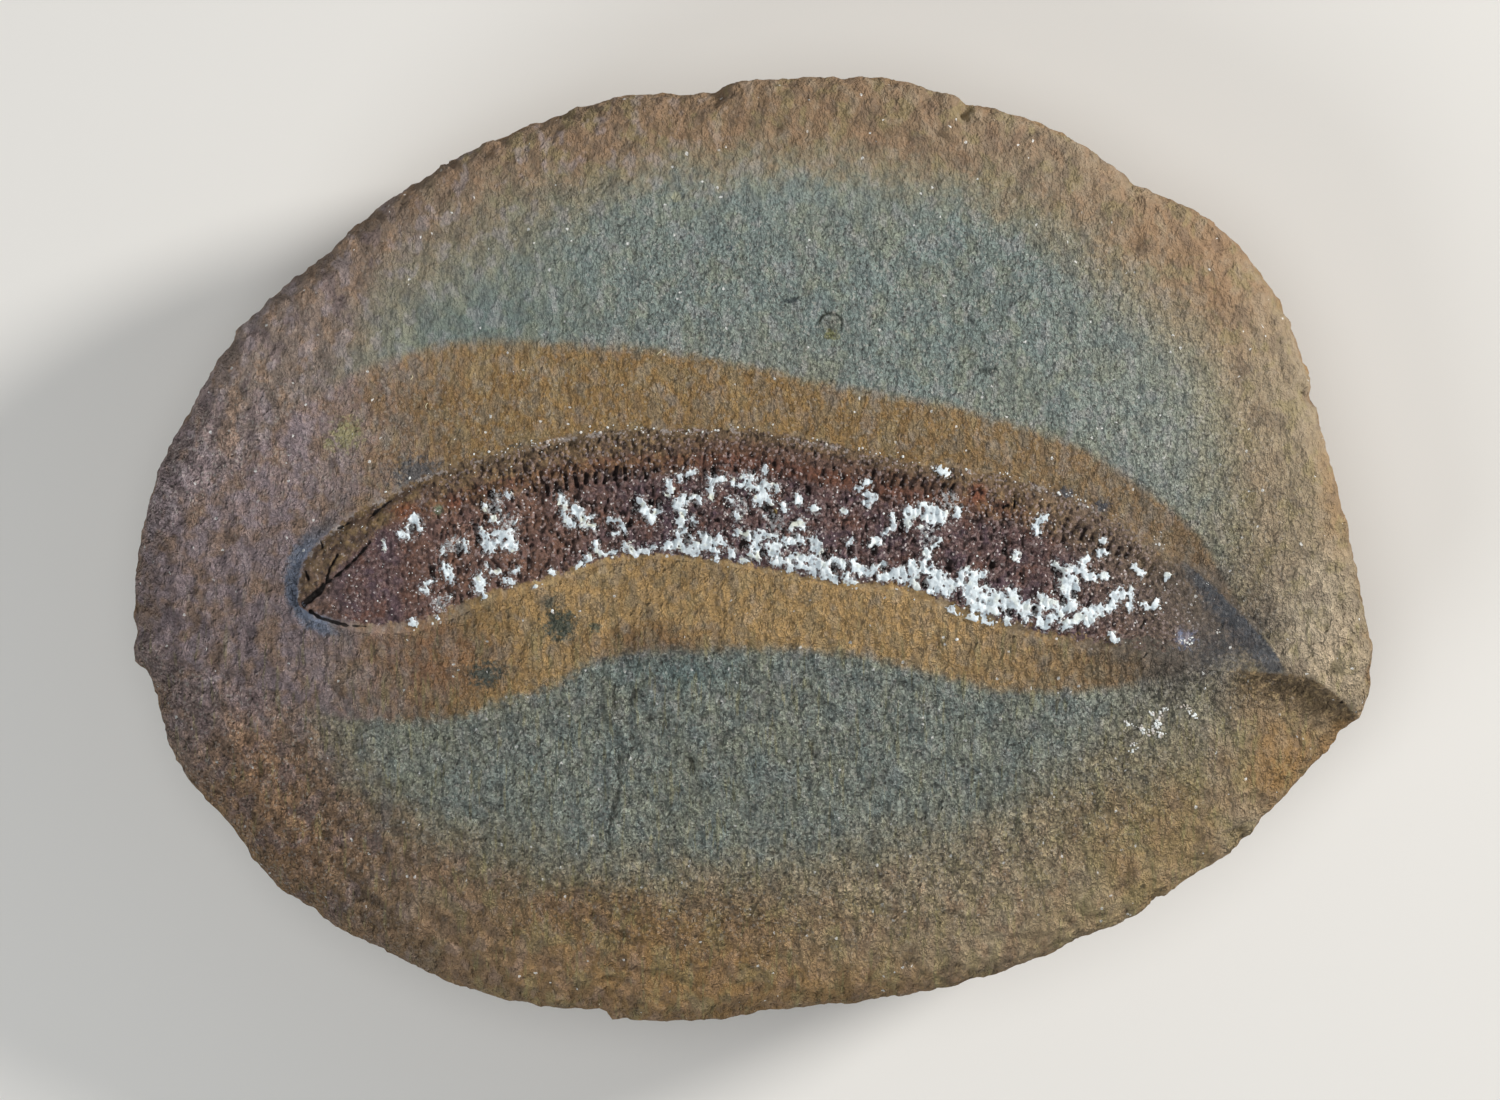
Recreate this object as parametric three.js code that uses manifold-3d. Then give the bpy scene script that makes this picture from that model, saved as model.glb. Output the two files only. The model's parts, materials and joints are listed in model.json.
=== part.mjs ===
// Fossil embolomere, a small long-bodied early tetrapod, lying on its side in one half of a
// split ironstone concretion. The stone is a flat-bottomed lens with a gently domed split face.
// The mineralised animal fills a shallow pocket in that face, snout towards -X and tail towards +X.
// Millimetres, +Z up, origin at the centre of the foot that the stone rests on.
import * as THREE from "three";
import { mergeVertices } from "three/addons/utils/BufferGeometryUtils.js";
import Module from "manifold-3d";

const wasm = await Module();
wasm.setup();

// ---- Driving dimensions ----
const LENGTH = 64; // the stone along X
const WIDTH = 48.8; // and along Y
const THICKNESS = 13; // foot to the top of the dome
const DOME_DROP = 2.4; // how much lower the split face is where it meets the rounded edge
const EDGE_DROP = 1.9; // height of that rounded edge, from the face down to the widest line
const EDGE_START = 0.93; // share of the way out at which the edge starts to round over
const FOOT = 0.34; // share of the way out that rests flat
const BODY_DEPTH = 1.25; // the animal below the face, along the middle of its flank
const BODY_SIDE = 0.45; // height of its side walls
const BODY_CROWN = 0.3; // how far the flank stands above the face
const POCKET_GAP = 0.3; // parting between the animal and the stone

const RIM_HEIGHT = THICKNESS - DOME_DROP - EDGE_DROP;
const STONE_SEGMENTS = 120;
const BODY_STATIONS = 54;

// Outline of the stone seen from above, anticlockwise from the broken point at +X.
const STONE_OUTLINE = [
  // broken point and the straight right-hand side
  [32.0, -5.4], [31.5, -2.7], [30.4, 2.2], [28.9, 7.7], [28.2, 10.3], [27.2, 12.8], [25.8, 14.8],
  // shallow flakes off the upper right
  [24.5, 16.2], [22.9, 17.5], [21.5, 18.1], [20.2, 18.6], [19.0, 19.3], [17.6, 20.5], [15.3, 21.8],
  [13.1, 22.6], [11.1, 22.9], [10.4, 23.2], [8.9, 23.8],
  // far side, with the scooped chip near its middle
  [6.6, 24.2], [1.5, 24.3], [-0.8, 24.1], [-1.9, 23.7], [-2.9, 23.4], [-4.2, 23.4], [-5.5, 23.6],
  [-8.1, 23.0], [-13.1, 21.2], [-18.2, 18.3], [-21.9, 15.3], [-25.2, 12.6], [-26.2, 11.6],
  // left end, with a step broken out below it
  [-28.9, 7.5], [-31.1, 2.6], [-32.0, -2.8], [-31.8, -5.2], [-31.5, -6.3], [-30.9, -7.2],
  [-30.7, -8.5], [-29.8, -10.9], [-28.6, -12.6], [-27.2, -14.0], [-26.4, -15.3], [-25.4, -16.7],
  [-24.1, -17.8], [-22.8, -18.4], [-21.7, -19.5], [-20.1, -20.2],
  // near side, with the small step left of its middle
  [-15.5, -22.4], [-10.8, -23.7], [-9.4, -23.8], [-8.0, -23.5], [-7.3, -24.1], [-5.6, -24.4],
  [-2.5, -24.3], [0.0, -23.9], [6.3, -23.2], [10.5, -22.4], [14.8, -21.0],
  // lower right, running back to the point
  [19.5, -18.9], [22.7, -16.9], [26.0, -14.5], [26.4, -13.8], [29.6, -10.6], [30.1, -10.0],
  [31.3, -8.8], [31.8, -7.4],
];

// The animal's back and belly seen from above, both from the tip of the snout to the tip of the tail.
const BACK = [
  [-22.9, -2.7], [-23.1, -1.9], [-22.7, -0.6], [-21.4, 1.1], [-18.6, 3.1], [-16.4, 4.1],
  [-12.9, 5.0], [-8.3, 6.0], [-4.0, 6.2], [0.0, 6.1], [4.0, 5.4], [8.0, 4.5], [13.1, 3.7],
  [17.1, 2.3], [21.0, 0.1], [23.7, -1.7], [26.0, -4.4], [27.4, -6.5],
];
const BELLY = [
  [-22.9, -2.7], [-22.6, -3.3], [-21.8, -3.6], [-19.4, -4.1], [-16.8, -3.9], [-14.4, -2.9],
  [-10.9, -1.8], [-7.3, -0.5], [-4.0, -0.35], [0.0, -0.9], [4.3, -1.8], [7.7, -2.2],
  [10.8, -3.4], [14.6, -4.5], [18.4, -5.1], [23.0, -5.9], [27.4, -6.5],
];

// ---- Surfaces shared by the stone and the animal ----
function curveThrough(points, closed) {
  const bends = points.map(([x, y]) => new THREE.Vector3(x, y, 0));
  return new THREE.CatmullRomCurve3(bends, closed, "centripetal");
}

// Height of the split face, a shallow dome with a slight natural swell.
function faceHeight(x, y) {
  const out = (2 * x / LENGTH) ** 2 + (2 * y / WIDTH) ** 2;
  const swell = 0.14 * Math.sin(x / 6.1 + 0.8) * Math.cos(y / 5.2) + 0.08 * Math.sin((x - y) / 3.7);
  return THICKNESS - DOME_DROP * out + swell - 0.14;
}

// The broken point at +X: below a low ridge the face is scooped away to the south-west.
const RIDGE_START = new THREE.Vector2(26.4, -6.4);
const RIDGE_END = new THREE.Vector2(31.6, -8.9);
const SCOOP_DEPTH = 0.8;
const SCOOP_WIDTH = 1.5;

function scoop(x, y) {
  const ridge = RIDGE_END.clone().sub(RIDGE_START);
  const offset = new THREE.Vector2(x, y).sub(RIDGE_START);
  const along = THREE.MathUtils.smoothstep(offset.dot(ridge) / ridge.lengthSq(), -0.35, 0.45);
  const below = -ridge.cross(offset) / ridge.length();
  return below > 0 ? SCOOP_DEPTH * along * Math.sin(Math.min(below / SCOOP_WIDTH, 1) * Math.PI / 2)
    * Math.exp(-below / (3 * SCOOP_WIDTH)) : 0;
}

// ---- Stone ----
const rim = curveThrough(STONE_OUTLINE, true).getSpacedPoints(1200);
const rimBox = new THREE.Box3().setFromPoints(rim);
const rimCentre = rimBox.getCenter(new THREE.Vector3());
const rimPolar = rim
  .map((p) => p.clone().sub(rimCentre))
  .map((p) => ({ angle: Math.atan2(p.y, p.x), radius: Math.hypot(p.x, p.y) }))
  .sort((a, b) => a.angle - b.angle);

function rimRadius(angle) {
  const after = rimPolar.findIndex((p) => p.angle >= angle);
  const b = rimPolar[after < 0 ? 0 : after];
  const a = rimPolar[after <= 0 ? rimPolar.length - 1 : after - 1];
  const span = (b.angle - a.angle + 2 * Math.PI) % (2 * Math.PI);
  const part = span > 0 ? ((angle - a.angle + 2 * Math.PI) % (2 * Math.PI)) / span : 0;
  return THREE.MathUtils.lerp(a.radius, b.radius, part);
}

function ovalRadius(angle) {
  return 1 / Math.hypot(2 * Math.cos(angle) / LENGTH, 2 * Math.sin(angle) / WIDTH);
}

// Chips and corners belong to the rim, and fade towards the middle of the face and of the foot.
function reach(angle, out) {
  const oval = ovalRadius(angle);
  return out * (oval + (rimRadius(angle) - oval) * out ** 4);
}

function edgeDrop(out) {
  const t = Math.max(0, (out - EDGE_START) / (1 - EDGE_START));
  return EDGE_DROP * (1 - Math.sqrt(Math.max(0, 1 - t * t)));
}

// Height of the underside, an ellipse arc cut off by the foot, with low weathered bumps.
function undersideHeight(x, y, out) {
  const foot = 1 - Math.sqrt(1 - FOOT * FOOT);
  const depth = RIM_HEIGHT / (1 - foot);
  const arc = depth * (1 - Math.sqrt(Math.max(0, 1 - out * out))) - depth * foot;
  const bumps = 0.22 * Math.sin(x / 3.3 + 1) * Math.sin(y / 2.9) + 0.16 * Math.sin((x + y) / 2.1);
  const fade = THREE.MathUtils.smoothstep(out, FOOT, FOOT + 0.2) * (1 - THREE.MathUtils.smoothstep(out, 0.9, 1));
  return out <= FOOT ? 0 : Math.max(0.02, arc + bumps * fade);
}

const FACE_RINGS = [0, 0.08, 0.17, 0.27, 0.37, 0.47, 0.57, 0.67, 0.76, 0.84, 0.9, 0.93, 0.955, 0.975, 0.99];
const UNDER_RINGS = [0.99, 0.96, 0.915, 0.855, 0.78, 0.7, 0.61, 0.52, 0.43, FOOT, 0];

function stoneGeometry() {
  // A lathe's profile runs from the foot up over the rim; its height only says which side a ring is on.
  const profile = [
    ...[...UNDER_RINGS].reverse().map((out) => new THREE.Vector2(out, 0)),
    new THREE.Vector2(1, 0.5),
    ...[...FACE_RINGS].reverse().map((out) => new THREE.Vector2(out, 1)),
  ];
  const stone = new THREE.LatheGeometry(profile, STONE_SEGMENTS).rotateX(Math.PI / 2);
  const place = stone.getAttribute("position");
  for (let i = 0; i < place.count; i++) {
    const angle = Math.atan2(place.getY(i), place.getX(i));
    const out = Math.min(1, Math.hypot(place.getX(i), place.getY(i)));
    const x = reach(angle, out) * Math.cos(angle);
    const y = reach(angle, out) * Math.sin(angle);
    const side = place.getZ(i);
    const face = faceHeight(x, y) - edgeDrop(out) - scoop(x, y);
    const height = side > 0.75 ? face : side > 0.25 ? RIM_HEIGHT : undersideHeight(x, y, out);
    place.setXYZ(i, x, y, height);
  }
  return stone;
}

// ---- Animal ----
// Pairs of points on the back and the belly, each pushed out by the gap that a pocket needs.
function stations(gap) {
  const back = curveThrough(BACK, false).getSpacedPoints(BODY_STATIONS);
  const belly = curveThrough(BELLY, false).getSpacedPoints(BODY_STATIONS);
  const loop = [...back, ...belly.slice(1, -1).reverse()];
  const pushed = loop.map((p, i) => {
    const before = loop[(i + loop.length - 1) % loop.length];
    const after = loop[(i + 1) % loop.length];
    const along = after.clone().sub(before).normalize();
    return new THREE.Vector3(p.x - along.y * gap, p.y + along.x * gap, 0);
  });
  const tail = BODY_STATIONS;
  return back.map((_, i) => [pushed[i], i === 0 || i === tail ? pushed[i] : pushed[loop.length - i]]);
}

// A closed skin over cross-sections that run from back to belly over the top and return underneath.
const SECTION_STEPS = 6;

function bodyGeometry(gap, topAbove) {
  const points = [];
  const rows = stations(gap);
  for (const [back, belly] of rows) {
    const width = back.distanceTo(belly);
    const fullness = Math.min(1, width / 5);
    const point = (share, rise) => {
      const p = back.clone().lerp(belly, share);
      return p.setZ(faceHeight(p.x, p.y) - scoop(p.x, p.y) + rise);
    };
    for (let k = 0; k <= SECTION_STEPS; k++) {
      const bulge = Math.sin(Math.PI * k / SECTION_STEPS);
      points.push(point(k / SECTION_STEPS, topAbove + BODY_CROWN * fullness * bulge));
    }
    for (let k = SECTION_STEPS; k >= 0; k--) {
      const bulge = Math.sin(Math.PI * k / SECTION_STEPS) * fullness;
      points.push(point(k / SECTION_STEPS, -gap - BODY_SIDE - (BODY_DEPTH - BODY_SIDE) * bulge));
    }
  }
  const around = 2 * (SECTION_STEPS + 1);
  const triangles = [];
  for (let i = 0; i < rows.length - 1; i++) {
    for (let k = 0; k < around; k++) {
      const a = i * around + k;
      const b = i * around + (k + 1) % around;
      triangles.push(a, b, a + around, b, b + around, a + around);
    }
  }
  return new THREE.BufferGeometry().setFromPoints(points).setIndex(triangles);
}

// ---- Solids ----
function solid(geometry) {
  const bare = geometry.clone();
  bare.deleteAttribute("normal");
  bare.deleteAttribute("uv");
  const merged = mergeVertices(bare, 1e-3);
  const vertProperties = merged.getAttribute("position").array;
  const triVerts = new Uint32Array(merged.index.array);
  return new wasm.Manifold(new wasm.Mesh({ numProp: 3, vertProperties, triVerts }));
}

function geometryOf(made) {
  const mesh = made.getMesh();
  const flat = new THREE.BufferGeometry()
    .setAttribute("position", new THREE.BufferAttribute(mesh.vertProperties, 3))
    .setIndex(new THREE.BufferAttribute(mesh.triVerts, 1))
    .toNonIndexed();
  flat.computeVertexNormals();
  return flat;
}

const body = solid(bodyGeometry(0, 0));
const pocket = solid(bodyGeometry(POCKET_GAP, 2));
const stone = solid(stoneGeometry()).subtract(pocket);

const ironstone = new THREE.MeshStandardMaterial({ color: 0x7b6c59, roughness: 0.88, metalness: 0 });
const mineralisedBody = new THREE.MeshStandardMaterial({ color: 0x5c4844, roughness: 0.78, metalness: 0 });

const concretionHalf = new THREE.Mesh(geometryOf(stone), ironstone);
concretionHalf.name = "concretion_half";

const embolomere = new THREE.Mesh(geometryOf(body), mineralisedBody);
embolomere.name = "embolomere_body";

const fossil = new THREE.Group();
fossil.add(concretionHalf, embolomere);

export default fossil;
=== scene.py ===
# A small embolomere, a long-bodied early tetrapod, lying on its side in the split face of one half
# of an ironstone concretion. The stone, the mineralised body, the white kaolinite crust on its
# flank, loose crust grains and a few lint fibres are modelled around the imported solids.
# Lengths are in millimetres, which MM turns into metres. Only the studio is laid out in metres.
import json
import math
import random

import bpy
import numpy as np
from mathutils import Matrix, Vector, noise
from mathutils.bvhtree import BVHTree

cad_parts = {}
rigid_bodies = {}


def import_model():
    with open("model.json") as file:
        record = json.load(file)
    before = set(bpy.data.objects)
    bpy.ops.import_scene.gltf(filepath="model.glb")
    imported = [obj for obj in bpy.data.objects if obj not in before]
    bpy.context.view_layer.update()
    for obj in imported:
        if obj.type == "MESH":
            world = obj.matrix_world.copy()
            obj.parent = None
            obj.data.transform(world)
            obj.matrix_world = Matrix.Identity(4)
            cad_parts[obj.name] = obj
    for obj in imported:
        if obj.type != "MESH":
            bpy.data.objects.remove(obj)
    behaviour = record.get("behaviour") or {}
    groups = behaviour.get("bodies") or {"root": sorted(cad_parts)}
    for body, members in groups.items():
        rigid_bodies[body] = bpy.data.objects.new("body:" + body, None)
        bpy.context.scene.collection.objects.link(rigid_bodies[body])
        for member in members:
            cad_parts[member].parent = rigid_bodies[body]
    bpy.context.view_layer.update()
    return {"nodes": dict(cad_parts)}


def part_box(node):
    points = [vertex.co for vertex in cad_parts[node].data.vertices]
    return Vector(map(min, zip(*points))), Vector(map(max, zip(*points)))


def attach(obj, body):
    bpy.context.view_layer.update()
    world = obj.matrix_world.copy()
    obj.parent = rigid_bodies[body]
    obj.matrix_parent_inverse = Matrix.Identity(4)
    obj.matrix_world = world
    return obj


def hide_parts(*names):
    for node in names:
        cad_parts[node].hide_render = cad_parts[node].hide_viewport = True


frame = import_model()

MM = 0.001

# ---- Sizes ----
STONE_VOXEL = 0.43  # spacing of the stone's surface, halved again on the split face
HALF_LONG = 32  # from the stone's middle to the ends and the sides of its outline
HALF_WIDE = 24.4
FACE_ABOVE = 8.3  # the split face and its rounded edge lie higher than this
FOOT_CLEAR = 0.7  # the underside is left plain below this height, so that the foot stays flat
BODY_LONG = 51  # the animal, snout to tail
BODY_COLUMNS = 700  # squares of its surface, snout to tail
BODY_ROWS = 84  # and belly to back
BODY_THICK = 0.9  # how far the body goes down into its pocket
LIP = 0.35  # how far the body's feathered edge lies over the stone
CRUST_COLUMNS = 1200  # squares of the crust's surface, alike
CRUST_ROWS = 145
CRUST_THICK = 0.16
SHEET_START = 14.0  # the height at which flat sheets start, before they are laid on the stone
PROBE_START = 20  # and from which the surface below a crumb is looked for
CURVE_WIDE = 64  # what a border's curve spans, across and up
CURVE_TALL = 50
STUDIO_LIGHT = 0.8  # how brightly the studio lights a white surface on the stone

# Places on the split face, as seen from above: x to the right, y up.
BACK = [
    (-22.9, -2.75), (-23.05, -2.0), (-22.8, -0.45), (-22.1, 0.5), (-21.15, 1.35), (-20.0, 2.1),
    (-18.4, 2.95), (-16.4, 4.0), (-12.9, 5.0), (-8.3, 6.0), (-4.0, 6.2), (0.0, 6.1), (4.0, 5.4),
    (8.0, 4.5), (13.1, 3.7), (17.1, 2.3), (21.0, 0.1), (23.7, -1.7), (26.0, -4.4), (27.4, -6.5),
]
BELLY = [
    (-22.9, -2.7), (-22.6, -3.3), (-21.8, -3.6), (-19.4, -4.1), (-16.8, -3.9), (-14.4, -2.9),
    (-10.9, -1.8), (-7.3, -0.5), (-4.0, -0.35), (0.0, -0.9), (4.3, -1.8), (7.7, -2.2), (10.8, -3.4),
    (14.6, -4.5), (18.4, -5.1), (23.0, -5.9), (27.4, -6.5),
]
VERTEBRAE = [
    (-11.4, 2.65), (-9.1, 3.5), (-5.8, 3.95), (-3.75, 4.3), (0.35, 4.2), (4.4, 3.85), (8.5, 3.35),
    (12.55, 2.35), (15.1, 1.55), (17.15, 0.7), (19.65, -0.6), (21.9, -2.35),
]
HEAD_CRACKS = [
    [(-22.95, -2.75), (-22.15, -2.1), (-21.9, -1.8), (-20.65, -0.8), (-19.5, 0.4)],
    [(-21.8, -1.65), (-21.6, -0.95), (-21.2, -0.25)],
    [(-19.6, 1.6), (-19.25, 1.95), (-18.45, 2.55)],
    [(-22.6, -3.15), (-22.1, -3.5), (-20.8, -3.85), (-19.8, -3.9)],
    [(-22.1, 0.45), (-22.0, 0.1)],
    [(-22.85, -1.1), (-22.7, -1.5)],
    [(-21.2, 1.1), (-20.7, 1.35)],
]
TAIL_CRACKS = [
    [(19.5, -5.95), (19.85, -5.55), (20.15, -5.2)],
    [(12.7, 2.15), (12.95, 2.3)],
    [(13.25, 2.15), (13.3, 2.5)],
    [(20.05, -1.35), (20.45, -0.75)],
    [(19.8, -3.95), (19.95, -3.65)],
    [(23.8, -4.05), (24.05, -3.75)],
]
# Holes in the flank, mostly beside the crust, pressed in and painted dark as shade.
PITS = [
    (-17.35, 1.1), (-14.15, 1.1), (-13.65, 1.65), (-13.25, 2), (-14.95, -0.1), (-16.35, -1.25),
    (-3.4, 0.5), (-3.15, 1.05), (-0.5, 0.3), (0.5, -0.15), (6.55, -0.95), (4.1, -0.85), (7.5, 1.05),
    (4.85, -0.15), (6.1, -0.15), (12.75, -0.15), (12.15, -0.8), (13.05, -3.2), (14.3, -3.1),
    (15.75, -2.7), (-6.25, 1.3), (-5.2, 2.35), (-6.05, 2.15), (-4.8, 2.3), (-2.05, 3.9), (0.65, 2.1),
    (0.95, 1.6), (8.7, -1.8), (15.25, -1.05), (15.5, -1.2), (16.3, -2.25), (-14, 0.55), (-13.4, 2.7),
    (3.6, -0.35), (2.75, 2.9), (9.9, -0.9), (19.8, -0.75),
]
# Where the slits between the vertebrae gape: from x, to x, and how deep.
OPEN_SLITS = [(-10.5, -6.4, 1.0), (-6.4, -4.8, 0.6), (5.8, 10.5, 0.65), (15.5, 19.2, 0.6)]
BACK_SPECKLE = [
    (-19.2, 3.0), (-16.8, 4.2), (-13.5, 5.0), (-9.85, 5.6), (-8.3, 5.95), (-6.55, 6.25), (-4.85, 6),
    (-2.6, 6.1), (-0.2, 6.15), (2.3, 5.6), (5.5, 5.1), (8, 4.4), (9.45, 4.1), (13.05, 3.8), (14.9, 3.2),
    (17.1, 2.3), (19.65, 1.3), (21, 0.05),
]
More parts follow.
